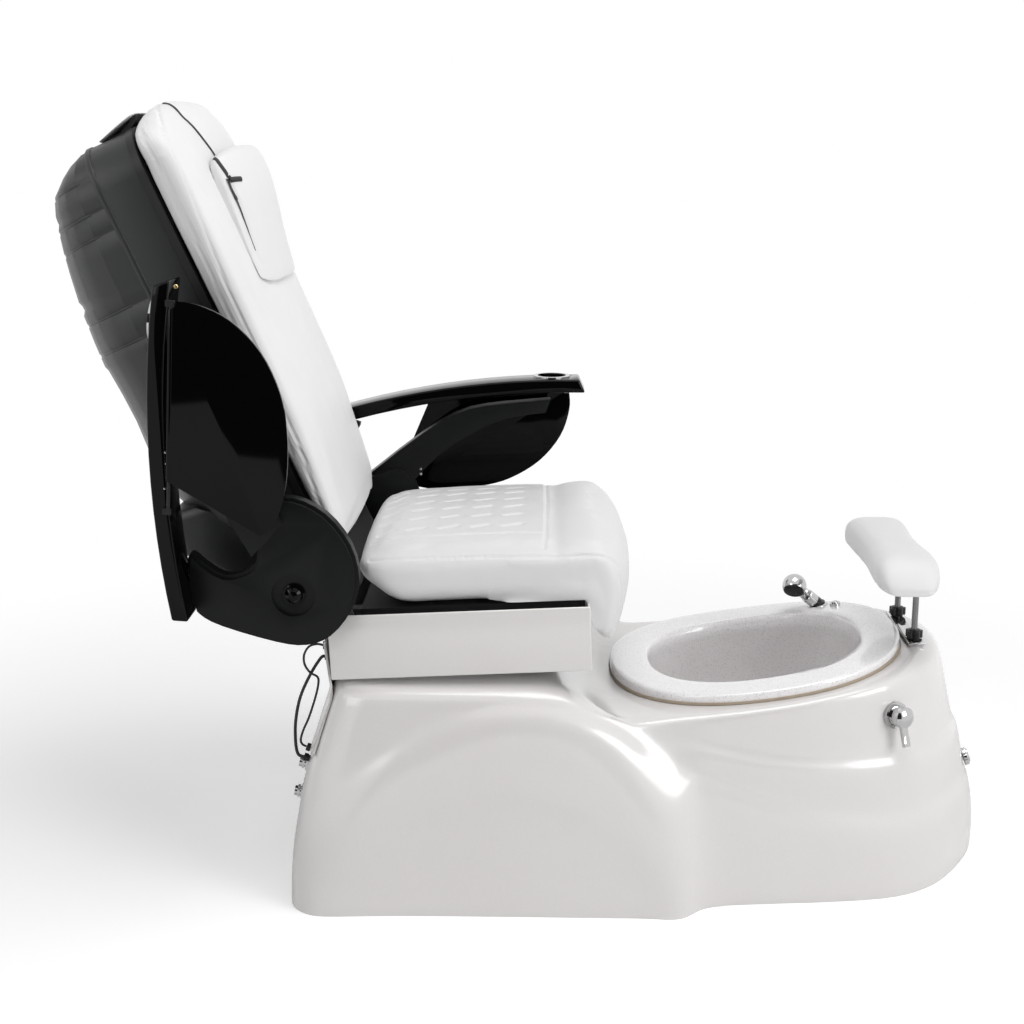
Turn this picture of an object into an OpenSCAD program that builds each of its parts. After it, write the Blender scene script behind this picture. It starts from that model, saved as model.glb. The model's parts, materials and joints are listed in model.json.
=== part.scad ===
// Pedicure spa chair: a moulded base with a foot basin carries a sliding seat,
// a reclining massage back and two swing-up arms with fold-out side trays.
// +X is the way the sitter faces, +Y is the sitter's left, Z = 0 is the floor.

/* [Base] */
// Overall width of the rear part of the base at the floor
base_rear_w = 708; // [690:2:730]
// Overall width of the base beside the basin at the floor
base_front_w = 576; // [566:2:596]
// Height of the platform under the seat
platform_h = 390; // [382:2:396]
// Thickness of the moulded shell
base_wall = 6; // [4:1:8]
// How far the wheel-arch shape stands out of the side walls
arch_proud = 15; // [4:1:22]
// Step of each swoosh line round the front
swoosh_step = 8; // [3:1:12]

/* [Basin] */
// Length of the basin over its rim
basin_len = 522; // [508:2:528]
// Width of the basin over its rim
basin_w = 500; // [480:2:506]
// Depth of the bowl below the rim
basin_depth = 235; // [180:5:250]
// Thickness of the bowl wall
basin_wall = 8; // [6:1:10]
// Width of the flat rim
rim_w = 55; // [48:1:60]
// Thickness of the rim
rim_h = 20; // [14:1:26]

/* [Seat] */
// Width of the seat cushion
seat_w = 536; // [500:4:544]
// Thickness of the seat cushion at its middle
seat_thick = 113; // [100:1:120]
// Tilt of the seat, front edge up
seat_tilt = 2.6; // [1.6:0.1:3.4]
// Height of the seat pan above the platform
seat_rise = 129; // [125:1:136]
// Width of the skirt under the seat
skirt_w = 580; // [576:1:584]
// Height of the skirt
skirt_h = 111; // [95:1:113]

/* [Back] */
// Lean of the back from upright
back_lean = 24.3; // [20:0.1:27]
// Width of the back cushion
back_w = 524; // [490:2:530]
// Width of the massage housing
housing_w = 492; // [470:2:496]
// Thickness of the back cushion
back_thick = 85; // [75:1:95]
// Depth of the surround between cushion and rear cover
surround_d = 88; // [84:1:96]
// Length of the travel of the massage carriage
massage_travel = 300; // [200:10:340]

/* [Arms] */
// Width of an armrest
arm_w = 82; // [70:1:90]
// Thickness of an armrest
arm_t = 26; // [20:1:30]
// Angle between the lowered and the raised arm
arm_swing = 82; // [70:1:86]
// Thickness of a side tray
tray_t = 8; // [5:1:10]
// Radius of the arm and recline pivot pins
pivot_r = 12; // [9:0.5:15]

/* [Footrest] */
// Length of the footrest pad across the chair
rest_len = 390; // [340:5:400]
// Radius of the two threaded rods
rod_r = 5; // [4:0.5:6]
// Distance between the rods
rod_gap = 144; // [120:2:170]

/* [Hidden] */

$fn = 48;
gap = 0.3;            // seat of one piece on the next
run = 0.06;           // radial running clearance of a shaft
slip = 0.5;           // side clearance of sliding pieces

pearl = [0.90, 0.89, 0.87];
resin = [0.86, 0.83, 0.83];
leather = [0.94, 0.94, 0.95];
dark = [0.16, 0.17, 0.18];
gloss = [0.02, 0.02, 0.02];
steel = [0.55, 0.56, 0.58];
chrome = [0.80, 0.81, 0.83];
black = [0.05, 0.05, 0.05];

// ---------------------------------------------------------------- helpers
function mix(a, b, t) = a + (b - a) * t;
function clamp(t) = max(0, min(1, t));
function ease(t) = let (s = clamp(t)) s * s * (3 - 2 * s);
function unit(v) = v / max(norm(v), 1e-9);
function spline(a, b, c, d, t) =
  0.5 * (2 * b + (c - a) * t + (2 * a - 5 * b + 4 * c - d) * t * t
         + (3 * b - a - 3 * c + d) * t * t * t);
// Smooth closed curve through pts, n points for each given one
function closed_curve(pts, n) = let (m = len(pts))
  [for (i = [0:m - 1], k = [0:n - 1])
    spline(pts[(i + m - 1) % m], pts[i], pts[(i + 1) % m], pts[(i + 2) % m], k / n)];
// Smooth open curve through pts
function open_curve(pts, n) = let (m = len(pts) - 1)
  [for (i = [0:m - 1], k = [0:n - 1])
    spline(pts[max(i - 1, 0)], pts[i], pts[i + 1], pts[min(i + 2, m)], k / n), pts[m]];
// Solid skinned over equal rings; ends are closed with flat caps
module skin(rings) {
  n = len(rings[0]);
  m = len(rings);
  faces = concat(
    [for (i = [0:m - 2], j = [0:n - 1]) let (k = (j + 1) % n)
      [i * n + j, i * n + k, (i + 1) * n + k]],
    [for (i = [0:m - 2], j = [0:n - 1]) let (k = (j + 1) % n)
      [i * n + j, (i + 1) * n + k, (i + 1) * n + j]],
    [for (j = [1:n - 2]) [0, j + 1, j]],
    [for (j = [1:n - 2]) [(m - 1) * n, (m - 1) * n + j, (m - 1) * n + j + 1]]);
  polyhedron([for (r = rings) each r], faces);
}
// Solid skinned over rings whose last one joins the first, like a tyre
module skin_loop(rings) {
  n = len(rings[0]);
  m = len(rings);
  polyhedron([for (r = rings) each r],
    [for (i = [0:m - 1], j = [0:n - 1], h = [0:1])
      let (k = (j + 1) % n, q = (i + 1) % m)
      h == 0 ? [i * n + j, i * n + k, q * n + k] : [i * n + j, q * n + k, q * n + j]]);
}
// Skin over rings made of an outer row of n points and the inner row back again
module band(rings, n) {
  m = len(rings);
  w = 2 * n;
  cap = function(b, flip) [for (j = [0:n - 2], h = [0:1])
    let (f = h == 0 ? [b + j, b + j + 1, b + w - 2 - j] : [b + j, b + w - 2 - j, b + w - 1 - j])
    flip ? [f[2], f[1], f[0]] : f];
  polyhedron([for (r = rings) each r], concat(
    [for (i = [0:m - 2], j = [0:w - 1], h = [0:1]) let (k = (j + 1) % w)
      h == 0 ? [i * w + j, i * w + k, (i + 1) * w + k] : [i * w + j, (i + 1) * w + k, (i + 1) * w + j]],
    cap(0, true), cap((m - 1) * w, false)));
}
module bar(from, to, r) {
  d = to - from;
  translate(from)
    rotate([0, acos(d[2] / norm(d)), atan2(d[1], d[0])])
      cylinder(h = norm(d), r = r);
}
module along_y(y0, y1, r) {
  translate([0, min(y0, y1), 0]) rotate([-90, 0, 0]) cylinder(h = abs(y1 - y0), r = r);
}
// Flat plate of a side outline, standing between two widths
module side_plate(y0, y1) {
  translate([0, max(y0, y1), 0]) rotate([90, 0, 0]) linear_extrude(abs(y1 - y0)) children();
}
module both_sides() {
  children();
  mirror([0, 1, 0]) children();
}

// ------------------------------------------------------------- base shell
basin_x = 406;
deck_z = platform_h - 42;
deck_rise = 0.14;
rear_half = base_rear_w / 2;
front_half = base_front_w / 2;
// Height of the sloping deck round the basin
function deck(x) = deck_z + deck_rise * (x - basin_x) + 10 * pow((x - basin_x) / 250, 2);
// Height of the whole top: platform under the seat, then the deck
function top_z(x, y) =
  let (q = ease((x - 30 * pow(y / 290, 2) - 5) / 140)) mix(platform_h, deck(x), q);
// Half of the plan: floor point, point where the wall ends, its height, edge radius
HALF_PLAN = [
  [-412, 0, -342, 0, platform_h - 22, 20],
  [-412, 180, -342, 165, platform_h - 22, 20],
  [-411, rear_half - 56, -340, 250, platform_h - 23, 24],
  [-388, rear_half - 8, -322, 300, platform_h - 27, 34],
  [-330, rear_half, -280, 318, platform_h - 30, 40],
  [-200, rear_half, -190, 322, platform_h - 26, 40],
  [-60, rear_half, -60, 322, platform_h - 20, 40],
  [80, rear_half + 1, 55, 320, platform_h - 28, 36],
  [180, rear_half + 1, 130, 309, deck_z - 7, 28],
  [243, rear_half - 1, 190, 294, deck_z - 32, 18],
  [278, front_half + 38, 258, 286, deck_z - 29, 14],
  [330, front_half + 12, 330, 284, deck_z - 20, 13],
  [466, front_half, 452, 280, deck_z - 2, 13],
  [612, front_half - 19, 572, 256, deck_z + 16, 16],
  [690, front_half - 60, 648, 212, deck_z + 27, 24],
  [744, front_half - 122, 702, 146, deck_z + 32, 32],
  [798, front_half - 214, 733, 74, deck_z + 33, 36],
  [815, 0, 741, 0, deck_z + 33, 36]];
PLAN = let (m = len(HALF_PLAN))
  concat(HALF_PLAN, [for (i = [m - 2:-1:1]) let (s = HALF_PLAN[i])
    [s[0], -s[1], s[2], -s[3], s[4], s[5]]]);
stations = closed_curve(PLAN, 2);
wall_steps = 12;
arch_x = -5;
arch_h = platform_h - 14;
panel_from = 262;     // the rear cover panel starts at this height
panel_t = 4;
panel_edge = 311;     // half width of its recess at the foot, a fifth less per mm of height
panel_reach = 5;      // stations on each side of the middle that the panel covers
// The four lines of the side walls: outer and inner wheel arch, upper and lower swoosh
function arch_line(x, cx, left, right, h) =
  h * sqrt(max(0, 1 - pow((x - cx) / (x < cx ? left : right), 2)));
function swoosh_up(x) = 252 + 48 * pow(min(x - 541, 0) / 288, 2);
function swoosh_low(x) = 148 + 100 * pow(min(x - 627, 0) / 357, 2);
function ellipse_in(x, z, cx, left, right, h) =
  1 - norm([(x - cx) / (x < cx ? left : right), z / h]);
// Outward offset of the wall: arches, swoosh steps and the seat of the rear panel
function relief(x, y, z) =
  let (outer = ellipse_in(x, z, arch_x, 381, 330, arch_h),
       inner = ellipse_in(x, z, -40, 318, 265, 208),
       side = ease((abs(y) - 200) / 90), ahead = ease((x - 225) / 90))
  side * (arch_proud * ease(outer / 0.09) - 0.45 * arch_proud * ease((outer - 0.1) / 0.3)
          - 5 * ease(inner / 0.045)) * (1 - ease((x - 250) / 40))
  + ahead * swoosh_step * (ease((swoosh_up(x) - z) / 16) + ease((swoosh_low(x) - z) / 16)
                           - ease((60 - z) / 60))
  - (x < -300 && abs(y) < panel_edge - 0.2 * (z - panel_from)
     ? (panel_t + gap) * ease((z - panel_from + 3) / 6) : 0);
function outward(i) = let (m = len(stations), a = stations[(i + m - 1) % m],
  b = stations[(i + 1) % m]) unit([b[1] - a[1], a[0] - b[0]]) * -1;
function wall_point(i, z, extra = 0) =
  let (s = stations[i], n = outward(i), bend = mix(1.9, 1.35, ease((s[0] - 150) / 200)),
       w = pow(z / s[4], bend), x = mix(s[0], s[2], w), y = mix(s[1], s[3], w),
       d = relief(x, y, z) + extra)
  [x + n[0] * d, y + n[1] * d, z];
// Rows of the wall follow the lines, so that each line is an edge of the faces
ROWS = [0, 0.3, 0.65, 1, 2, 2.3, 2.65, 3, 3.5, 4, 4.35, 4.7, 5];
function row_z(i, k) =
  let (s = stations[i], x = mix(s[0], s[2], 0.4), q = ease((x - 190) / 90),
       up = max(min(mix(arch_line(x, arch_x, 381, 330, arch_h), swoosh_up(x), q), s[4] - 12), 120),
       low = max(min(mix(arch_line(x, -40, 318, 265, 208), swoosh_low(x), q), up - 45), 60),
       keys = [0, low - mix(10, 16, q), low, up - mix(34, 16, q), up, s[4]], j = min(floor(k), 4))
  mix(keys[j], keys[j + 1], k - j);
function edge_point(i, a) =
  let (s = stations[i], n = outward(i), p = wall_point(i, s[4]), r = s[5],
       x = s[2] - n[0] * r, y = s[3] - n[1] * r)
  [mix(p[0], x, 1 - cos(a)), mix(p[1], y, 1 - cos(a)), mix(s[4], top_z(x, y), sin(a))];
function oval(a, b, n, ang) =
  let (r = pow(pow(abs(cos(ang) / a), n) + pow(abs(sin(ang) / b), n), -1 / n))
  [r * cos(ang), r * sin(ang)];
oval_n = 2.38;
hole_in = 24;         // the hole in the deck is smaller than the rim by this much
// Rows of the deck: behind the basin they lie at the same places along the chair
DECK_X = [5, 28, 52, 75, 98, 121, 145];
deck_rows = len(DECK_X) + 3;
function deck_row(k, from, to) =
  k == 0 ? mix(from, DECK_X[0], 0.5) : k < deck_rows - 2 ? DECK_X[k - 1]
  : k == deck_rows - 2 ? mix(DECK_X[k - 2], to, 0.5) : to;
function deck_point(i, k) =
  let (s = edge_point(i, 90), ang = atan2(s[1], s[0] - basin_x),
       o = oval(basin_len / 2 - hole_in, basin_w / 2 - hole_in, oval_n, ang),
       rear = s[0] < -60, from = rear ? s[0] : -60, to = rear ? basin_x + o[0] : 190,
       t = (deck_row(k, from, to) - from) / (to - from),
       x = mix(s[0], basin_x + o[0], t), y = mix(s[1], o[1], t))
  [x, y, top_z(x, y)];
outer_rings = concat(
  [for (k = [0:wall_steps]) [for (i = [0:len(stations) - 1]) wall_point(i, row_z(i, ROWS[k]))]],
  [for (a = [30, 60, 90]) [for (i = [0:len(stations) - 1]) edge_point(i, a)]],
  [for (k = [0:deck_rows - 1]) [for (i = [0:len(stations) - 1]) deck_point(i, k)]]);
// The same surface moved in by the wall thickness
function grid_normal(g, k, i) =
  let (m = len(g[0]), a = g[k][(i + 1) % m] - g[k][(i + m - 1) % m],
       b = g[min(k + 1, len(g) - 1)][i] - g[max(k - 1, 0)][i]) unit(cross(b, a));
inner_pick = [for (k = [len(outer_rings) - 1:-1:0])
  if (k > wall_steps + 3 ? k % 2 == 1 || k == len(outer_rings) - 1 : k % 2 == 0) k];
inner_rings = [for (k = inner_pick) [for (i = [0:len(stations) - 1])
  let (p = outer_rings[k][i] - grid_normal(outer_rings, k, i) * base_wall)
  [p[0], p[1], k == 0 ? 0 : max(p[2], 0)]]];

module base_shell() {
  color(pearl) difference() {
    skin_loop(concat(outer_rings, inner_rings));
    rod_places() translate([0, 0, 300]) cylinder(h = 200, r = rod_r + 1);
    mixer_place() cylinder(h = 80, r = mixer_r + gap, center = true);
    knob_place() cylinder(h = 80, r = knob_stem_r + 2 + gap, center = true);
    inlet_places() cylinder(h = 60, r = inlet_r + gap, center = true);
    gland_places() cylinder(h = 40, r = 5 + gap, center = true);
  }
}
panel_rows = 9;
panel_top_h = platform_h + 65;
// One surface of the rear cover panel, set out from the wall by d
function panel_point(i, k, d) =
  let (m = len(stations), h0 = panel_from + gap, wz = stations[i][4] - 2,
       z = mix(h0, wz, min(k, panel_rows - 3) / (panel_rows - 3)),
       p = wall_point(i, z, panel_t + gap + d),
       over = max(k - (panel_rows - 3), 0) / 3)
  [mix(p[0], -346 - d, over), p[1], mix(z, panel_top_h, over)];
panel_span = [for (i = [-panel_reach:panel_reach]) (i + len(stations)) % len(stations)];
module rear_access_panel() {
  n = len(panel_span);
  outside = [for (k = [0:panel_rows]) [for (i = panel_span) panel_point(i, k, 0)]];
  inside = [for (k = [0:panel_rows]) [for (i = panel_span) panel_point(i, k, -panel_t)]];
  color(pearl) difference() {
    band([for (k = [0:panel_rows]) concat(outside[k], [for (j = [n - 1:-1:0]) inside[k][j]])], n);
    grommet_places() cylinder(h = 30, r = 4.5 + gap, center = true);
  }
}

// -------------------------------------------------------- pieces in the base
post = 30;
post_x = [-285, -40];
post_y = 200;
module inner_frame() {
  top = platform_h - base_wall - 2.1 - gap;
  color(steel) both_sides() {
    for (x = post_x) translate([x, post_y - post / 2, 0]) cube([post, post, top]);
    translate([post_x[0] + post, post_y - post / 2, top - post])
      cube([post_x[1] - post_x[0] - post, post, post]);
    for (x = post_x, z = [14, top - post])
      translate([x, 0, z]) cube([post, post_y - post / 2, 20]);
  }
}
box_d = [130, 150, 70];
module power_box() {
  color(black) translate([post_x[0] + 1, -box_d[1] / 2, 34 + gap]) difference() {
    cube(box_d);
    for (k = [0:5]) translate([20 + 16 * k, -1, box_d[2] - 4]) cube([6, box_d[1] + 2, 5]);
  }
}
pump_z = 110;
floor_z = deck_z + rim_h - basin_depth;
jet_z = floor_z + 129;
jet_x = basin_x - basin_len / 2 + rim_w + 2;
module jet_pump() {
  color(black) difference() {
    union() {
      translate([-130, 0, pump_z]) rotate([0, 90, 0]) cylinder(h = 150, r = 52);
      translate([20, 0, pump_z]) rotate([0, 90, 0]) cylinder(h = 46, r = 68);
      translate([66, 0, pump_z]) rotate([0, 90, 0]) cylinder(h = 26, r = 22);
      bar([44, 40, pump_z], [44, 40, jet_z - 20], 16);
      translate([-110, -50, 34 + gap]) cube([100, 100, 30]);
    }
    for (k = [0:9]) translate([-120 + 13 * k, 0, pump_z])
      rotate([0, 90, 0]) difference() {
        cylinder(h = 5, r = 60);
        translate([0, 0, -1]) cylinder(h = 7, r = 48);
      }
  }
}
// Basin: each ring is [inset from the rim edge, how far down, lift above the deck]
drain_r = 30;
sides = 56;
function rim_ring(inset, lift) = [for (i = [0:sides - 1])
  let (o = oval(basin_len / 2 - inset, basin_w / 2 - inset, oval_n, 360 * i / sides))
  [basin_x + o[0], o[1], deck(basin_x + o[0]) + lift]];
function bowl_ring(inset, down, drop = 0) = [for (i = [0:sides - 1])
  let (o = oval(basin_len / 2 - inset, basin_w / 2 - inset, oval_n, 360 * i / sides))
  [basin_x + o[0], o[1], mix(deck(basin_x + o[0]) + rim_h, floor_z, down) - drop]];
function drain_ring(r, z) = [for (i = [0:sides - 1])
  [basin_x + r * cos(360 * i / sides), r * sin(360 * i / sides), z]];
BOWL = [[rim_w + 3, 0.2], [rim_w + 7, 0.45], [rim_w + 14, 0.68], [rim_w + 28, 0.86],
  [rim_w + 50, 0.96], [rim_w + 80, 1]];
module basin() {
  inner = [for (b = BOWL) bowl_ring(b[0], b[1])];
  outer = [for (k = [len(BOWL) - 1:-1:0]) let (b = BOWL[k])
    bowl_ring(b[0] - basin_wall * (1 - 0.9 * pow(b[1], 6)), b[1], basin_wall * pow(b[1], 3))];
  rings = concat([rim_ring(3, gap), rim_ring(0, gap + 3), rim_ring(0, rim_h - 6),
    rim_ring(2, rim_h - 1.5), rim_ring(6, rim_h), rim_ring(rim_w - 6, rim_h),
    rim_ring(rim_w - 1, rim_h - 2)], inner, [drain_ring(drain_r + gap, floor_z),
    drain_ring(drain_r + gap, floor_z - basin_wall)], outer,
    [rim_ring(rim_w - basin_wall, gap)]);
  color(resin) difference() {
    skin_loop([for (k = [len(rings) - 1:-1:0]) rings[k]]);
    jet_place() cylinder(h = 40, r = jet_r + gap, center = true);
  }
}
jet_r = 16;
module jet_place() { translate([jet_x + 6, 0, jet_z]) rotate([0, 90, 0]) children(); }
module water_jet() {
  color(chrome) jet_place() difference() {
    union() {
      translate([0, 0, 3.5]) cylinder(h = 6, r = jet_r + 10);
      translate([0, 0, -44]) cylinder(h = 48, r = jet_r);
    }
    translate([0, 0, -2]) cylinder(h = 20, r = 9);
    for (k = [0:7]) rotate(45 * k) translate([jet_r + 2, 0, 6]) cylinder(h = 5, r = 2.5);
  }
}
module basin_drain() {
  bottom = floor_z - basin_wall;
  color(chrome) translate([basin_x, 0, 0]) rotate_extrude()
    polygon([[18, bottom - 60], [18, floor_z - 8], [26, floor_z + gap + 3],
      [39, floor_z + gap + 1.5], [39, floor_z + gap], [drain_r - 1, floor_z + gap],
      [drain_r - 1, bottom - gap], [41, bottom - gap], [41, bottom - 12],
      [drain_r - 1, bottom - 12], [drain_r - 1, bottom - 60]]);
}
module drain_stopper() {
  color(chrome) translate([basin_x, 0, 0]) rotate_extrude()
    polygon([[0, floor_z - 40], [4, floor_z - 40], [4, floor_z - 7], [19.6, floor_z - 5],
      [25.2, floor_z + 3], [25.2, floor_z + 5], [22, floor_z + 8], [0, floor_z + 9.5]]);
}
// Frames on the wall: local Z points out of the shell
function wall_normal(i, z) =
  let (m = len(stations), a = wall_point((i + 1) % m, z) - wall_point((i + m - 1) % m, z),
       b = wall_point(i, z + 14) - wall_point(i, z - 14)) unit(cross(b, a));
module on_wall(i, z) {
  n = wall_normal(i, z);
  translate(wall_point(i, z)) rotate([0, acos(n[2]), atan2(n[1], n[0])]) children();
}
mixer_r = 17;
mixer_i = 41;
mixer_z = deck_z - 26;
module mixer_place() { on_wall(mixer_i, mixer_z) children(); }
module mixer_valve() {
  color(chrome) mixer_place() {
    translate([0, 0, 1.2]) cylinder(h = 5, r = 23);
    translate([0, 0, -46]) cylinder(h = 48, r = mixer_r);
    translate([0, 0, 6]) cylinder(h = 14, r = 12);
  }
}
lever_len = 52;
module mixer_lever() {
  color(chrome) mixer_place() difference() {
    union() {
      translate([0, 0, 7]) cylinder(h = 20, r = 18);
      translate([0, 0, 27]) intersection() {
        translate([0, 0, -22]) sphere(r = 28.4);
        cylinder(h = 10, r = 18);
      }
      translate([0, -6, 14]) rotate([0, -12, 0]) cube([lever_len, 12, 7]);
      rotate([0, -12, 0]) translate([lever_len - 3, 0, 14]) cylinder(h = 7, r = 6);
    }
    translate([0, 0, 5]) cylinder(h = 15 + slip, r = 12 + run);
  }
}
knob_stem_r = 7;
module knob_place() { on_wall(len(stations) / 2, 153) children(); }
module drain_knob() {
  color(chrome) knob_place() difference() {
    union() {
      translate([0, 0, -30]) cylinder(h = 36, r = knob_stem_r);
      translate([0, 0, 3.4]) cylinder(h = 8, r = 17.5);
      translate([0, 0, 11.4]) cylinder(h = 3, r = 13);
    }
    for (k = [0:11]) rotate(30 * k) translate([19, 0, 2]) cylinder(h = 11, r = 2.6);
  }
}
inlet_r = 9;
module inlet_places() {
  for (z = [148, 201]) on_wall(66, z) children();
}
gland_i = 65;
gland_z = [234, 251];
gland_h = 8;
grommet_at = [[-346, -228, panel_top_h - 38], [-346, -246, panel_top_h - 13]];
module grommet_places() {
  for (p = grommet_at) translate(p) rotate([0, -90, 0]) children();
}
module gland_places() {
  for (z = gland_z) on_wall(gland_i, z) children();
}
module cable_glands() {
  color(black) gland_places() {
    translate([0, 0, -base_wall - 4]) cylinder(h = base_wall + 6, r = 5);
    translate([0, 0, 0.6]) cylinder(h = gland_h - 0.6, r = 7.5, $fn = 6);
  }
  color(black) grommet_places() {
    translate([0, 0, -12]) cylinder(h = 16, r = 4.5);
    translate([0, 0, gap]) cylinder(h = 4.2, r = 7);
  }
}
module water_inlets() {
  color(chrome) inlet_places() difference() {
    union() {
      translate([0, 0, -24]) cylinder(h = 42, r = inlet_r);
      translate([0, 0, 1.2]) cylinder(h = 5, r = 15, $fn = 6);
      translate([0, 0, 9]) cylinder(h = 4, r = 12, $fn = 6);
    }
    translate([0, 0, -25]) cylinder(h = 50, r = 5.5);
  }
}
// A point on the flat of the rim at an angle round the basin
function rim_spot(ang, inset) =
  let (o = oval(basin_len / 2 - inset, basin_w / 2 - inset, oval_n, ang), x = basin_x + o[0])
  [x, o[1], deck(x) + rim_h + gap];
holder_at = rim_spot(51, 30);
spray_dir = [0, -42, 205];
function deck_slope(x) = atan(deck_rise + 20 * (x - basin_x) / pow(250, 2));
module on_rim(p) { translate(p) rotate([0, -deck_slope(p[0]), 0]) children(); }
module holder_place() { on_rim(holder_at) rotate([0, 0, spray_dir[2]]) children(); }
spout_r = 8;
module sprayer_holder() {
  color(black) holder_place() difference() {
    union() {
      cylinder(h = 7, r = 15);
      translate([0, 0, 3]) rotate([0, -spray_dir[1], 0]) cylinder(h = 30, r = 12.5);
    }
    translate([0, 0, 3]) rotate([0, -spray_dir[1], 0]) translate([0, 0, 11])
      cylinder(h = 30, r = spout_r + run);
    translate([-30, -30, -30]) cube([60, 60, 30]);
  }
}
module sprayer() {
  color(chrome) holder_place() translate([0, 0, 3]) rotate([0, -spray_dir[1], 0]) {
    translate([0, 0, 11 + gap]) cylinder(h = 50, r = spout_r);
    translate([0, 0, 34]) cylinder(h = 8, r = 11);
    translate([0, 0, 66]) difference() {
      sphere(r = 23);
      rotate([0, 100, 0]) translate([0, 0, 12]) cylinder(h = 20, r = 30);
    }
  }
}
button_at = rim_spot(42, 28);
button_r = 6;
module air_button_bezel() {
  color(chrome) on_rim(button_at) difference() {
    cylinder(h = 6, r = 10);
    translate([0, 0, -1]) cylinder(h = 8, r = button_r + run);
  }
}
button_travel = 2.5;
module air_button() {
  color(chrome) on_rim(button_at) translate([0, 0, button_travel + 0.8])
    cylinder(h = 5, r = button_r);
}
// ------------------------------------------------------------- footrest
rod_x = 685;
plate_half = 15;
plate_top = deck(rod_x + plate_half) + gap + 3;
module rod_places() {
  for (s = [-1, 1]) translate([rod_x, s * rod_gap / 2, 0]) children();
}
module footrest_plate() {
  color(chrome) difference() {
    side_plate(-rod_gap / 2 - 28, rod_gap / 2 + 28) polygon([
      [rod_x - plate_half, deck(rod_x - plate_half) + gap + 0.4],
      [rod_x, deck(rod_x) + gap + 0.4],
      [rod_x + plate_half, deck(rod_x + plate_half) + gap + 0.4],
      [rod_x + plate_half, plate_top], [rod_x - plate_half, plate_top]]);
    rod_places() translate([0, 0, 300]) cylinder(h = 200, r = rod_r + run);
  }
}
pad_x = 650;
rest_z = deck_z + 169;   // underside of the pad
rod_down = 230;
module footrest_rods() {
  color(steel) {
    rod_places() translate([0, 0, rest_z - rod_down]) cylinder(h = rod_down - 5 - gap, r = rod_r);
    translate([rod_x - 50, -rod_gap / 2 - 40, rest_z - 5 - gap]) cube([60, rod_gap + 80, 5]);
  }
}
knob_h = 17;
module star_knob(s) {
  color(black) translate([rod_x, s * rod_gap / 2, plate_top + gap]) difference() {
    union() {
      cylinder(h = knob_h, r = 10);
      for (k = [0:4]) rotate(72 * k) translate([10, 0, 2]) cylinder(h = knob_h - 4, r = 5.5);
    }
    translate([0, 0, -1]) cylinder(h = knob_h + 2, r = rod_r + run);
  }
}
module near_star_knob() { star_knob(-1); }
module far_star_knob() { star_knob(1); }
// Pad: sections across the chair, narrower at the waist and rounded at the ends
function pad_ring(s) =
  let (e = abs(s), end = pow(e, 5), half = mix(48, 56, ease(e * 1.3)) * (1 - 0.42 * pow(e, 14)),
       h = mix(62, 68, ease(e * 1.4)) * (1 - 0.55 * pow(e, 12)) - 16 * end)
  [for (i = [0:19]) let (a = 360 * i / 20 + 9, c = cos(a), q = sin(a))
    [pad_x + half * sign(c) * pow(abs(c), 0.55), s * rest_len / 2,
     rest_z + h / 2 + (h / 2) * sign(q) * pow(abs(q), q > 0 ? 0.8 : 0.4)]];
module footrest_pad() {
  color(leather) skin([for (s = [-1, -0.97, -0.9, -0.78, -0.6, -0.35, 0, 0.35, 0.6, 0.78, 0.9, 0.97, 1])
    pad_ring(s)]);
}

// --------------------------------------------------- seat rails and carriage
seat_pan_h = platform_h + seat_rise;
seat_at = [-100, 0, seat_pan_h];
pivot = [-386, 0, seat_pan_h + 33];
module seat_frame() { translate(seat_at) rotate([0, -seat_tilt, 0]) children(); }
rail_y = 205;
foot_x = [-330, 38];  // ends of the brackets that stand on the platform
pan_t = 12;
tube_h = 40;
rail_top = -pan_t - tube_h - 30;
module seat_rails() {
  color(steel) both_sides() {
      seat_frame() translate([-232, rail_y - 10, rail_top - 20]) cube([398, 20, 20]);
      side_plate(rail_y - 16, rail_y + 16)
        polygon([[foot_x[0], platform_h + gap], [foot_x[1], platform_h + gap],
          for (x = [foot_x[1], foot_x[0]]) [x, seat_pan_h - 97 + (x - seat_at[0]) * tan(seat_tilt)]]);
  }
}
act_z = -78;
module slide_actuator() {
  color(black) seat_frame() difference() {
    union() {
      translate([-170, 0, act_z]) rotate([0, 90, 0]) cylinder(h = 190, r = 15);
      translate([-172, -20, act_z - 12]) cube([50, 40, 24]);
    }
    translate([-120, 0, act_z]) rotate([0, 90, 0]) cylinder(h = 160, r = 9 + run);
  }
  color(black) difference() {
    translate([-262, -18, platform_h + gap]) cube([30, 36, 40]);
    seat_frame() translate([-200, 0, act_z]) rotate([0, 90, 0]) cylinder(h = 190, r = 15);
    seat_frame() translate([-172, -20, act_z - 12]) cube([50, 40, 24]);
  }
}
module slide_rod() {
  color(steel) seat_frame() translate([-100, 0, act_z]) rotate([0, 90, 0])
    cylinder(h = 100 + cross_front - gap, r = 9);
}
cross_rear = -232;
cross_front = 168;
plate_y = [housing_w / 2 + 6, housing_w / 2 + 14];
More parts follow.
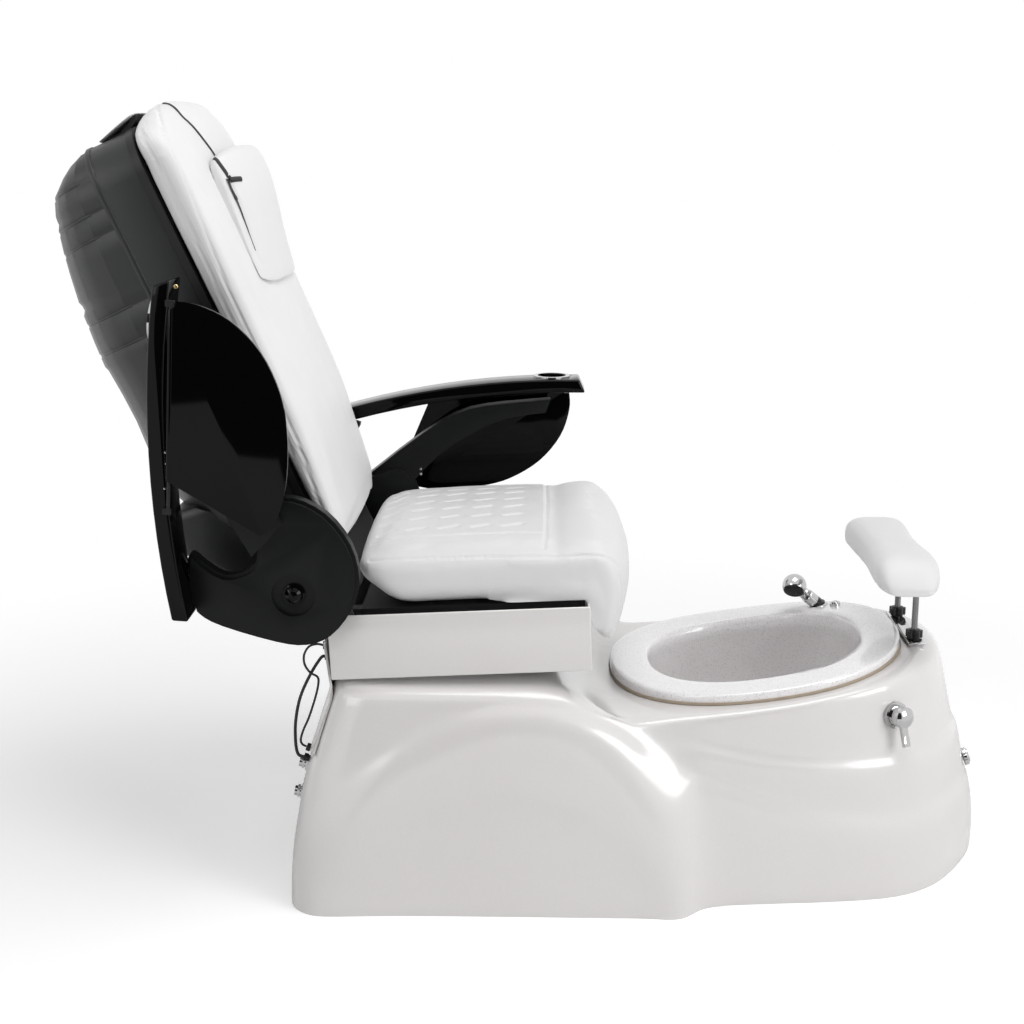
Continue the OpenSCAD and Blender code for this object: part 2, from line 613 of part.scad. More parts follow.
module carriage_frame() {
  color(steel) seat_frame() difference() {
    union() {
      both_sides() {
        translate([cross_rear, rail_y - 12.5, -pan_t - tube_h])
          cube([cross_front - cross_rear + 25, 25, tube_h - gap]);
        for (x = [-205, -60]) translate([x, rail_y - 24, rail_top - 12])
          cube([56, 48, 42]);
      }
      for (x = [cross_rear, cross_front]) translate([x, -rail_y, -pan_t - tube_h])
        cube([25, 2 * rail_y, tube_h - gap]);
      translate([cross_front, -15, act_z - 14]) cube([25, 30, 42]);
    }
    both_sides() translate([-240, rail_y - 10 - slip, rail_top - 30]) cube([300, 20 + 2 * slip, 30 + slip]);
    translate([-300, crank_y, rod_line]) rotate([0, 90, 0]) cylinder(h = 120, r = 12);
  }
  color(steel) both_sides() difference() {
    union() {
      translate(pivot) side_plate(plate_y[0], plate_y[1]) polygon([[56, -97], [86, -94],
        [90, -52], [46, 38], [0, 52], [-39, 33], [-42, -22], [-14, -62]]);
      translate(pivot + [58, rail_y - 12.5, -94]) cube([22, plate_y[0] - rail_y + 13, 30]);
      translate([pivot[0], 0, pivot[2]]) along_y(plate_y[1], skirt_w / 2 + 3, 34);
    }
    translate([pivot[0], 0, pivot[2]]) along_y(plate_y[0] - 1, skirt_w / 2 + 4, pivot_r + run);
  }
}
module seat_pan() {
  color(black) seat_frame() difference() {
    translate([-184, -seat_w / 2 + 8, -pan_t]) cube([370, seat_w - 16, pan_t - gap]);
    for (x = [-120, 0, 120]) translate([x, 0, -20]) cylinder(h = 30, r = 14);
  }
}
skirt_t = 5;
skirt_x = [-238, 200];   // rear end and front face, in the frame of the seat
module seat_skirt() {
  color(pearl) seat_frame() translate([0, 0, -3 - skirt_h]) difference() {
    translate([skirt_x[0], -skirt_w / 2, 0]) cube([skirt_x[1] - skirt_x[0], skirt_w, skirt_h]);
    translate([skirt_x[0] - 1, -skirt_w / 2 + skirt_t, -1])
      cube([skirt_x[1] - skirt_x[0] + 1 - skirt_t, skirt_w - 2 * skirt_t, skirt_h + 2]);
  }
}
up_y = housing_w / 2 - 38;
pin_in = up_y + 10;
hub_in = skirt_w / 2 + 3 + gap;
hub_t = 32;
module pivot_pins() {
  color(steel) both_sides() translate([pivot[0], 0, pivot[2]])
    along_y(pin_in, hub_in + hub_t - 9, pivot_r);
}
// Seat cushion: side outline in the seat frame, swept across with a crown
SEAT_SIDE = [[-181, 99], [-150, 109], [-60, 113], [60, 113], [128, 111], [146, 106],
  [166, 112], [212, 114], [248, 99], [268, 68], [275, 25], [272, -25], [256, -66],
  [232, -83], [213, -76], [207, -40], [205, -9], [184, 0.3], [60, 0.3], [-60, 0.3],
  [-120, 2], [-160, 30], [-190, 70]];
function inset_curve(pts, d) = let (m = len(pts)) [for (i = [0:m - 1])
  let (t = unit(pts[(i + 1) % m] - pts[(i + m - 1) % m])) pts[i] + [t[1], -t[0]] * d];
function seat_ring(s) =
  let (e = abs(s), r = 24 * (1 - sqrt(1 - pow(clamp((e - 0.86) / 0.14), 2) * 0.99)),
       c = inset_curve(closed_curve(SEAT_SIDE, 2), r))
  [for (p = c) let (up = clamp((p[1] - 30) / 80), fwd = clamp((p[0] - 216) / 50))
    [p[0] - 18 * fwd * e * e, s * seat_w / 2,
     max((p[1] > 0 ? p[1] * (seat_thick / 113) : p[1]) - 24 * up * pow(e, 2.4), p[0] < 200 ? gap : -90)]];
module seat_cushion() {
  color(leather) seat_frame() skin([for (s = [1, 0.985, 0.95, 0.88, 0.7, 0.4, 0, -0.4,
    -0.7, -0.88, -0.95, -0.985, -1]) seat_ring(s)]);
}
// -------------------------------------------------------------- recline drive
crank_y = 60;
crank_r = 75;
crank_rest = -15;
rod_line = -30;
module recline_actuator() {
  color(black) seat_frame() difference() {
    union() {
      translate([-60, crank_y, rod_line]) rotate([0, 90, 0]) cylinder(h = 200, r = 13);
      translate([60, crank_y - 15, rod_line - 15]) cube([106, 30, 30]);
    }
    translate([-61, crank_y, rod_line]) rotate([0, 90, 0]) cylinder(h = 150, r = 7 + run);
  }
}
crank_pin = pivot + crank_r * [sin(crank_rest), 0, -cos(crank_rest)];
module recline_rod() {
  x = crank_pin[0] - seat_at[0];
  z = crank_pin[2] - seat_at[2];
  px = x * cos(seat_tilt) + z * sin(seat_tilt);
  pz = -x * sin(seat_tilt) + z * cos(seat_tilt);
  color(steel) seat_frame() difference() {
    union() {
      translate([px + 15, crank_y, rod_line]) rotate([0, 90, 0]) cylinder(h = -px - 15, r = 7);
      translate([px - 16, crank_y - 5, min(pz, rod_line) - 18]) cube([32, 10, abs(pz - rod_line) + 36]);
    }
    hull() for (d = [-7, 7]) translate([px, 0, pz + d]) along_y(crank_y - 9, crank_y + 9, 6.5);
  }
}

// --------------------------------------------------------------------- back
module back_lean_frame() { translate(pivot) rotate([0, -back_lean, 0]) children(); }
front_x = 71;                        // plane where the cushion rests on the surround
rear_x = front_x - surround_d;       // plane where the rear cover meets the surround
surround_z = [95, 785];
rail_foot = 112;      // heights of the two cross members that carry the massage rails
rail_head = 636;
module back_frame() {
  color(steel) back_lean_frame() difference() {
    union() {
      both_sides() {
        translate([12, up_y - 12, -12]) cube([30, 24, 768]);
        translate([-16, up_y, -24]) cube([50, 36 - 2 * slip, 60]);
        for (z = [300, 650]) translate([20, up_y + 11, z])
          cube([20, housing_w / 2 - surround_t - gap - up_y - 11, 20]);
      }
      for (z = [rail_foot, rail_head, 740]) translate([12, -up_y, z]) cube([20, 2 * up_y, 20]);
      along_y(-up_y, up_y, 16);
    }
    both_sides() along_y(pin_in - 4, up_y + 40, pivot_r + run);
    for (z = [rail_foot, rail_head]) translate([rail_x, 0, z - 10]) {
      for (s = [-1, 1]) translate([0, s * rail_gap, 0]) cylinder(h = 40, r = rail_r + gap);
      cylinder(h = 40, r = screw_r + gap);
    }
  }
  color(steel) for (y = [crank_y - 12, crank_y + 6.5])
    translate([0, y, 0]) side_plate(0, 5.5) polygon([[pivot[0] - 15, pivot[2] - 8],
      [pivot[0] + 15, pivot[2] - 8], [crank_pin[0] + 10, crank_pin[2] - 8],
      [crank_pin[0] - 10, crank_pin[2] - 8]]);
  color(steel) translate([crank_pin[0], 0, crank_pin[2]]) along_y(crank_y - 12, crank_y + 12, 6);
}
// Front view outline of the housing, with round corners
module housing_outline(in) {
  w = housing_w / 2 - in;
  z0 = surround_z[0] + in;
  z1 = surround_z[1] - in;
  top = 75 - in;
  low = 34 - in;
  polygon(concat(
    [for (a = [0:15:90]) [w - low + low * sin(a), z0 + low - low * cos(a)]],
    [for (a = [0:15:90]) [w - top + top * cos(a), z1 - top + top * sin(a)]],
    [for (a = [0:15:90]) [-w + top - top * sin(a), z1 - top + top * cos(a)]],
    [for (a = [0:15:90]) [-w + low - low * cos(a), z0 + low - low * sin(a)]]));
}
module from_rear(x0, x1) {
  translate([x0, 0, 0]) rotate([90, 0, 90]) linear_extrude(x1 - x0) children();
}
surround_t = 5;
module back_surround() {
  color(dark) back_lean_frame() difference() {
    from_rear(rear_x, front_x - gap) housing_outline(0);
    from_rear(rear_x - 1, front_x - 8) housing_outline(surround_t);
    from_rear(front_x - 9, front_x + 1) housing_outline(26);
    translate([8, -up_y - 16, surround_z[0] - 1]) cube([40, 2 * up_y + 32, surround_t + 4]);
  }
}
// Rear cover: depth of its back at each height, drawn in at the ends
COVER = [[98, 24], [104, 58], [118, 96], [150, 134], [200, 158], [250, 167], [300, 168],
  [350, 164], [400, 165], [448, 168], [456, 171], [500, 168], [548, 163], [556, 157],
  [564, 157], [572, 160], [620, 151], [660, 142], [692, 133], [700, 127], [706, 127],
  [714, 126], [740, 113], [760, 86], [772, 62], [780, 32]];
cover_cols = 14;
cover_t = 4;
function cover_line(row, in) =
  let (z = row[0], d = row[1], w = housing_w / 2 - 4 - in,
       end = clamp((z - 700) / 82), low = clamp((130 - z) / 40),
       half = w - 62 * (1 - sqrt(1 - pow(end, 2) * 0.98)) - 20 * low * low)
  [for (i = [0:cover_cols]) let (a = 180 * i / cover_cols - 90,
      c = pow(cos(a), 0.9), s = sign(a) * pow(abs(sin(a)), 0.9))
    [rear_x - gap - (i == 0 || i == cover_cols ? 0 : max(d - in, 0.5) * c), half * s,
     z + (z < 110 ? in : z > 770 ? -in : 0)]];
module rear_cover() {
  n = cover_cols + 1;
  rings = [for (row = COVER) concat(cover_line(row, 0),
    [for (k = [n - 1:-1:0]) cover_line(row, cover_t)[k]])];
  color(dark) back_lean_frame() band(rings, n);
}
BACK_SIDE = [[71, 60], [76, 26], [92, 16], [110, 38], [124, 95], [134, 152], [148, 250],
  [152, 380], [155, 520], [156, 640], [156, 708], [152, 770], [142, 801], [120, 814],
  [94, 811], [76, 795], [71, 720], [71, 560], [71, 400], [71, 240], [71, 120]];
drawn_thick = 85;
back_crown = 30;      // the sides of the cushion lie lower than its middle by this much
function back_drop(y) = back_crown * pow(abs(y) * 2 / back_w, 2.5);
function back_ring(s) =
  let (e = abs(s), r = 22 * (1 - sqrt(1 - pow(clamp((e - 0.86) / 0.14), 2) * 0.99)),
       c = inset_curve(closed_curve(BACK_SIDE, 2), -r), y = s * back_w / 2)
  [for (p = c) let (top = clamp((p[1] - 620) / 190), out = clamp((p[0] - 82) / 62))
    [max(front_x, front_x + (p[0] - front_x) * back_thick / drawn_thick - back_drop(y) * out),
     y, p[1] - 75 * top * pow(e, 5)]];
module back_cushion() {
  color(leather) back_lean_frame() skin([for (s = [-1, -0.985, -0.95, -0.88, -0.7, -0.4, 0, 0.4,
    0.7, 0.88, 0.95, 0.985, 1]) back_ring(s)]);
}
module top_flap() {
  color(leather) back_lean_frame() side_plate(-housing_w / 2 + 60, housing_w / 2 - 60)
    polygon([[front_x - 2, surround_z[1] + 17], [front_x + 8, surround_z[1] + 27],
      [40, surround_z[1] + 17], [20, surround_z[1] + 11], [-6, surround_z[1] + 4],
      [-6, surround_z[1] + gap], [20, surround_z[1] + gap + 1], [42, surround_z[1] + 7]]);
}
PILLOW_SIDE = [[0, 0], [7, -12], [14, 22], [26, 78], [40, 133], [46, 178], [43, 212],
  [28, 223], [6, 215], [0, 166], [0, 78]];
pillow_w = 330;
pillow_z = 478;
pillow_mid = 103;
function pillow_ring(s) =
  let (e = abs(s), r = 1 - 0.75 * pow(e, 7), y = s * pillow_w / 2,
       x = front_x + back_thick + 0.8 - back_drop(y))
  [for (p = closed_curve(PILLOW_SIDE, 2))
    [x + p[0] * r, y, pillow_z + pillow_mid + (p[1] - pillow_mid) * (1 - 0.16 * pow(e, 6))]];
module head_pillow() {
  color(leather) back_lean_frame() skin([for (s = [-1, -0.96, -0.85, -0.6, -0.25, 0.25, 0.6,
    0.85, 0.96, 1]) pillow_ring(s)]);
}
// ------------------------------------------------------ massage mechanism
rail_gap = up_y - 58;
rail_r = 8;
screw_r = 9;
rail_x = 22;
module massage_rails() {
  color(chrome) back_lean_frame() {
    for (s = [-1, 1]) translate([rail_x, s * rail_gap, rail_foot])
      cylinder(h = rail_head + 20 - rail_foot, r = rail_r);
    translate([rail_x, 0, rail_foot]) cylinder(h = rail_head + 20 - rail_foot, r = screw_r);
  }
}
module massage_motor() {
  color(black) back_lean_frame() {
    translate([-52, -32, 108]) cube([64 - gap, 64, 46]);
    translate([-20, 0, 131]) along_y(32, 96, 22);
  }
}
mass_z = 372;
roller_r = 22;
axle_r = 6;
roller_x = front_x - roller_r - 4;
module massage_carriage() {
  color(steel) back_lean_frame() translate([0, 0, mass_z]) difference() {
    union() {
      translate([10, -rail_gap - 16, -62]) cube([10, 2 * rail_gap + 32, 124]);
      for (s = [-1, 1], z = [-62, 32]) translate([8, s * rail_gap - 16, z]) cube([28, 32, 30]);
      translate([8, -20, -28]) cube([28, 40, 56]);
      translate([-58, -70, -40]) cube([69, 140, 80]);
      for (z = [-44, 44], y = [-104, -40, 28, 92]) translate([19, y, z - 12])
        cube([roller_x - 13, 12, 24]);
      for (z = [-44, 44], s = [-1, 1]) translate([roller_x, s * 66, z])
        along_y(-38, 38, axle_r);
    }
    for (s = [-1, 1]) translate([rail_x, s * rail_gap, -70]) cylinder(h = 140, r = rail_r + run);
    translate([rail_x, 0, -70]) cylinder(h = 140, r = screw_r + run);
  }
}
module rollers(z) {
  color(black) back_lean_frame() translate([roller_x, 0, mass_z + z]) for (s = [-1, 1])
    translate([0, s * 66, 0]) rotate([90, 0, 0]) rotate_extrude() polygon([
      [axle_r + run, -25], [roller_r - 6, -25], [roller_r - 1, -18], [roller_r, 0],
      [roller_r - 1, 18], [roller_r - 6, 25], [axle_r + run, 25]]);
}
module upper_rollers() { rollers(44); }
module lower_rollers() { rollers(-44); }

// --------------------------------------------------------------------- arms
// The arm is drawn lowered, on the sitter's left, with the pivot at the origin
module left_arm() { translate(pivot) children(); }
module right_arm() { translate(pivot) rotate([0, -arm_swing, 0]) mirror([0, 1, 0]) children(); }
arm_y = 300;
arc_r = 1660;
arc_at = [455, 263 - arc_r];
function arm_top(x, drop = 0) = arc_at[1] + sqrt(pow(arc_r - drop, 2) - pow(x - arc_at[0], 2));
ARM_X = [for (k = [0:12]) -54 + k * (476 + 54) / 12];
cup_x = 422;
cup_r = 31;
module armrest() {
  color(gloss) difference() {
    side_plate(arm_y, arm_y + arm_w) polygon(concat(
      [for (x = ARM_X) [x, arm_top(x)]],
      [[ARM_X[12] + 12, arm_top(ARM_X[12], arm_t)]],
      [for (k = [12:-1:1]) [ARM_X[k], arm_top(ARM_X[k], arm_t)]],
      [[ARM_X[0] + 2, arm_top(ARM_X[0] + 2, arm_t)]]));
    translate([cup_x, arm_y + arm_w / 2, 200]) cylinder(h = 100, r = cup_r + gap);
  }
}
module cup_ring() {
  z = arm_top(cup_x);
  color(chrome) translate([cup_x, arm_y + arm_w / 2, 0]) difference() {
    union() {
      translate([0, 0, z + 0.8]) cylinder(h = 3, r = cup_r + 5);
      translate([0, 0, z - arm_t + 1]) cylinder(h = arm_t + 2, r = cup_r);
    }
    translate([0, 0, z - arm_t + 4]) cylinder(h = arm_t + 2, r = cup_r - 3);
  }
}
// Bracket outline: hub, horn to the rear of the armrest, boom to its front
HUB = [[-86, 20], [-84, -30], [-62, -68], [-14, -96], [39, -103], [95, -82], [141, -36],
  [160, 20], [146, 68], [110, 84], [72, 70], [44, 68], [24, 88], [16, 118], [30, 150],
  [44, 176], [10, 178], [-30, 172], [-56, 152], [-72, 112]];
BOOM_UP = [[60, 72], [100, 104], [138, 133], [199, 176], [259, 203], [330, 214], [420, 222]];
BOOM_LOW = [[410, 196], [330, 184], [259, 152], [198, 110], [150, 60], [120, 30]];
cap_r = 15;
edge_t = 9;           // the outer edge of the casting is stepped in over this thickness
module below_armrest() {
  polygon(concat([[-200, -200], [600, -200], [600, arm_top(ARM_X[12], arm_t) - gap]],
    [for (k = [12:-1:0]) [ARM_X[k], arm_top(ARM_X[k], arm_t) - gap]],
    [[-200, arm_top(ARM_X[0], arm_t) - gap]]));
}
module arm_bracket() {
  color(dark) difference() {
    union() {
      side_plate(hub_in, hub_in + hub_t - edge_t) intersection() {
        polygon(closed_curve(HUB, 3));
        below_armrest();
      }
      side_plate(hub_in + hub_t - edge_t, hub_in + hub_t) intersection() {
        polygon(inset_curve(closed_curve(HUB, 3), -6));
        below_armrest();
      }
      side_plate(arm_y + 6, arm_y + 44) intersection() {
        polygon(concat(open_curve(BOOM_UP, 2), open_curve(BOOM_LOW, 2)));
        below_armrest();
      }
    }
    along_y(hub_in - 1, hub_in + hub_t + 1, pivot_r + run);
    along_y(hub_in + hub_t - 8, hub_in + hub_t + 1, 36);
  }
}
module pivot_cap() {
  color(chrome) translate([0, hub_in + hub_t - 8 + gap, 0]) rotate([-90, 0, 0]) rotate_extrude()
    polygon([[0, 0.2], [cap_r + 3, 0.2], [cap_r + 3, 3], [cap_r, 4], [cap_r - 2, 9],
      [cap_r - 7, 13], [0, 15]]);
}
// Tray: hangs from a hinge line along the outer lower edge of the armrest
hinge_tilt = 4.5;
hinge_r = 3;
hinge_at = [136, arm_y + arm_w + hinge_r + 2 + gap, 0];
hinge_len = 318;
hinge_z = arm_top(hinge_at[0], arm_t) - 1;
module hinge_line() {
  translate([hinge_at[0], hinge_at[1], hinge_z]) rotate([0, -hinge_tilt, 0]) children();
}
TRAY = [[0, 3], [-22, -30], [-36, -80], [-42, -122], [-30, -160], [8, -178], [60, -186],
  [130, -184], [190, -172], [252, -140], [298, -92], [320, -40], [322, -4], [316, 4]];
module tray() {
  color(gloss) hinge_line() difference() {
    union() {
      side_plate(-tray_t / 2, tray_t / 2) intersection() {
        polygon(closed_curve(TRAY, 4));
        translate([-100, -300]) square([500, 297 + hinge_r]);
      }
      rotate([0, 90, 0]) cylinder(h = hinge_len - 8, r = hinge_r + 2);
    }
    translate([-6, 0, 0]) rotate([0, 90, 0]) cylinder(h = hinge_len + 6, r = hinge_r + run);
    translate([-15, -10, -6]) cube([12, 20, 20]);
    translate([hinge_len - 5, -10, -6]) cube([30, 20, 20]);
  }
}
module tray_hinge() {
  color(chrome) hinge_line() {
    translate([-14, 0, 0]) rotate([0, 90, 0]) cylinder(h = hinge_len + 20, r = hinge_r);
    for (x = [-14, hinge_len - 4]) translate([x, -hinge_r - 2, -5]) cube([10, 8, 14]);
  }
}
module left_arm_bracket() { left_arm() arm_bracket(); }
module right_arm_bracket() { right_arm() arm_bracket(); }
module left_armrest() { left_arm() armrest(); }
module right_armrest() { right_arm() armrest(); }
module left_cup_ring() { left_arm() cup_ring(); }
module right_cup_ring() { right_arm() cup_ring(); }
module left_pivot_cap() { left_arm() pivot_cap(); }
module right_pivot_cap() { right_arm() pivot_cap(); }
module left_tray_hinge() { left_arm() tray_hinge(); }
module right_tray_hinge() { right_arm() tray_hinge(); }
module left_tray() { left_arm() tray(); }
module right_tray() { right_arm() tray(); }

// ------------------------------------------------------------------- cables
power_r = 2.8;
control_r = 2;
power_z = grommet_at[0][2];
control_z = grommet_at[1][2];
POWER_ROUTE = [[-351.6, -228, power_z], [-359, -228, power_z - 5], [-377, -229, power_z - 34],
  [-395, -229, 343], [-404, -230, 300], [-405, -232, 262], [-401, -233.4, 240.5],
  [-391, -233.6, 236]];
CONTROL_ROUTE = [[-351.3, -246, control_z], [-361, -246, control_z + 2],
  [-375, -245, control_z - 3], [-384, -243, control_z - 18], [-384, -241, control_z - 36],
  [-375, -240, control_z - 51], [-363, -239, 383], [-362, -238, 370], [-368, -237, 345],
  [-380, -235, 309], [-391, -233, 284], [-396, -232, 266], [-393, -231.7, 257.5],
  [-386.4, -231.6, 254.2]];
function tube_frame(pts, i) = let (m = len(pts) - 1,
  t = unit(pts[min(i + 1, m)] - pts[max(i - 1, 0)]), a = unit(cross(t, [0, 1, 0.2])))
  [a, cross(t, a)];
module cable(route, r) {
  pts = open_curve(route, 3);
  color(black) skin([for (i = [0:len(pts) - 1]) let (f = tube_frame(pts, i))
    [for (k = [0:7]) pts[i] + r * (cos(45 * k) * f[0] - sin(45 * k) * f[1])]]);
}
module power_cable() { cable(POWER_ROUTE, power_r); }
module control_cable() { cable(CONTROL_ROUTE, control_r); }

base_shell();
rear_access_panel();
inner_frame();
basin();
basin_drain();
water_jet();
jet_pump();
power_box();
mixer_valve();
water_inlets();
sprayer_holder();
air_button_bezel();
footrest_plate();
seat_rails();
slide_actuator();
cable_glands();
power_cable();
control_cable();
carriage_frame();
seat_pan();
seat_cushion();
seat_skirt();
pivot_pins();
slide_rod();
recline_actuator();
recline_rod();
back_frame();
back_surround();
rear_cover();
back_cushion();
top_flap();
head_pillow();
massage_rails();
massage_motor();
massage_carriage();
upper_rollers();
lower_rollers();
right_arm_bracket();
left_arm_bracket();
right_armrest();
left_armrest();
right_cup_ring();
left_cup_ring();
right_pivot_cap();
left_pivot_cap();
right_tray_hinge();
left_tray_hinge();
right_tray();
left_tray();
mixer_lever();
drain_knob();
drain_stopper();
sprayer();
air_button();
footrest_pad();
footrest_rods();
near_star_knob();
far_star_knob();
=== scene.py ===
# %% [markdown]
# # A pedicure spa chair
# The engineering model holds every piece in its true place, in metres, with the
# sitter facing +X and the floor at Z = 0. This lesson dresses it: padded cushions,
# a pearly moulded base, grained plastic, lacquer and chrome.

# %% Load the engineering model
import json
import math
import bmesh
import bpy
from mathutils import Matrix, Vector, noise
from mathutils.bvhtree import BVHTree
from mathutils.kdtree import KDTree


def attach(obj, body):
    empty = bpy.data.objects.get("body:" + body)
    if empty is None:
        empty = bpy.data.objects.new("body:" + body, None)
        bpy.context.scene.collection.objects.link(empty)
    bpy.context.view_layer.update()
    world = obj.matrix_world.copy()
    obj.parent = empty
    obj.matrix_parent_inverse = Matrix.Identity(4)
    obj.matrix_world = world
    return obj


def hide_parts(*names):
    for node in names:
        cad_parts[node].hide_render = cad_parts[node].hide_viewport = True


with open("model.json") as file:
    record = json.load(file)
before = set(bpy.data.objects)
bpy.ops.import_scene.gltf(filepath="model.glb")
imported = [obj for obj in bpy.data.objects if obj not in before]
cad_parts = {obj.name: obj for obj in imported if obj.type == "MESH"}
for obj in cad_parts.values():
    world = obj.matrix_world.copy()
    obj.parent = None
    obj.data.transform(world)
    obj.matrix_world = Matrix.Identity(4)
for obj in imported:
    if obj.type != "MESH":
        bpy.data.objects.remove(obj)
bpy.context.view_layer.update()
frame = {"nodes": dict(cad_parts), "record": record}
body_of = {n: b for b, ns in frame["record"]["behaviour"]["bodies"].items() for n in ns}
slot_of = {s["node"]: s["material_slot"] for s in frame["record"]["subparts"]}

# %% [markdown]
# The camera stands almost square to the right-hand side of the chair, about as high
# as the top of its back and tipped down by 13 degrees. Its lens is mildly long, so
# that the far arm is only slightly smaller than the near one: its focal length is
# 1643 pixels for a view 1024 pixels wide, on a sensor of 36 mm.

# %% Camera
SENSOR = 36
FOCAL, VIEW_WIDTH = 1643, 1024
camera = bpy.data.objects.new("camera", bpy.data.cameras.new("camera"))
bpy.context.scene.collection.objects.link(camera)
camera.data.sensor_width = SENSOR
camera.data.lens = SENSOR * FOCAL / VIEW_WIDTH
camera.location = (0.025, -2.9, 1.293)
camera.rotation_euler = (math.radians(90 - 13.1), 0, math.radians(1.2))
bpy.context.scene.camera = camera
print("lens", round(camera.data.lens, 1), "mm")

# %% [markdown]
# Two black cables leave the rear panel through grommets, sag in the open and go
# back into the base through screwed glands. A poly curve with a round bevel makes
# the tube, which is kept as a mesh, and the curve's own line is the centreline.
# Routes are in millimetres, radii in metres. How far each cable lies across the
# chair is chosen, as are the points of its route.

# %% Cables at the rear
def smooth_path(points, steps):
    """Points on a Catmull-Rom curve, steps for each span of the given points."""
    points = [Vector(p) for p in points]
    path = []
    for i in range(len(points) - 1):
        a, b = points[max(i - 1, 0)], points[i]
        c, d = points[i + 1], points[min(i + 2, len(points) - 1)]
        for k in range(steps):
            t = k / steps
            path.append(0.5 * (2 * b + (c - a) * t + (2 * a - 5 * b + 4 * c - d) * t * t
                               + (3 * b - a - 3 * c + d) * t ** 3))
    return path + [points[-1]]


def tube(name, path, radius):
    """A round tube on a line of points in metres, closed at both ends."""
    curve = bpy.data.curves.new(name, "CURVE")
    curve.dimensions = "3D"
    line = curve.splines.new("POLY")
    line.points.add(len(path) - 1)
    for point, co in zip(line.points, path):
        point.co = (*co, 1)
    curve.bevel_depth = radius
    curve.bevel_resolution = 3
    curve.use_fill_caps = True
    guide = bpy.data.objects.new(name + "_guide", curve)
    bpy.context.scene.collection.objects.link(guide)
    graph = bpy.context.evaluated_depsgraph_get()
    thing = bpy.data.objects.new(
        name, bpy.data.meshes.new_from_object(guide.evaluated_get(graph)))
    bpy.context.scene.collection.objects.link(thing)
    bpy.data.objects.remove(guide)
    return thing


SPAN_STEPS = 5
POWER_ROUTE = [(-351.6, -228, 417), (-359, -228, 412), (-377, -229, 383), (-395, -229, 343),
               (-404, -230, 300), (-405, -232, 262), (-401, -233.4, 240.5), (-391, -233.6, 236)]
CONTROL_ROUTE = [(-351.3, -246, 442), (-361, -246, 444), (-375, -245, 439), (-384, -243, 424),
                 (-384, -241, 406), (-375, -240, 391), (-363, -239, 383), (-362, -238, 370),
                 (-368, -237, 345), (-380, -235, 309), (-391, -233, 284), (-396, -232, 266),
                 (-393, -231.7, 257.5), (-386.4, -231.6, 254.2)]
cables = {}
for node, route, radius in (("power_cable", POWER_ROUTE, 0.0028),
                            ("control_cable", CONTROL_ROUTE, 0.002)):
    path = smooth_path([Vector(p) / 1000 for p in route], SPAN_STEPS)
    length = sum((b - a).length for a, b in zip(path, path[1:]))
    cable = tube(node + "_run", path, radius)
    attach(cable, "base")
    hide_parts(node)
    cables[node] = cable
    print(node, round(length, 3), "m")

# %% [markdown]
# Finishes are built from nodes. Wire wraps a socket, so that shader maths reads like
# ordinary arithmetic. Finish holds a material, and its node method adds any node.

# %% Arithmetic on sockets
def plug(tree, value, socket):
    """Link a wire to a socket, or set the socket's own value."""
    if isinstance(value, Wire):
        tree.links.new(value.socket, socket)
    else:
        socket.default_value = value


class Wire:
    """The output socket of a node, usable in plain expressions."""

    def __init__(self, tree, socket):
        self.tree, self.socket = tree, socket

    def math(self, operation, *values):
        node = self.tree.nodes.new("ShaderNodeMath")
        node.operation = operation
        for value, socket in zip(values, node.inputs):
            plug(self.tree, value, socket)
        return Wire(self.tree, node.outputs[0])

    def __add__(self, other):
        return self.math("ADD", self, other)

    def __sub__(self, other):
        return self.math("SUBTRACT", self, other)

    def __rsub__(self, other):
        return self.math("SUBTRACT", other, self)

    def __mul__(self, other):
        return self.math("MULTIPLY", self, other)

    def __gt__(self, other):
        return self.math("GREATER_THAN", self, other)

    def __abs__(self):
        return self.math("ABSOLUTE", self)


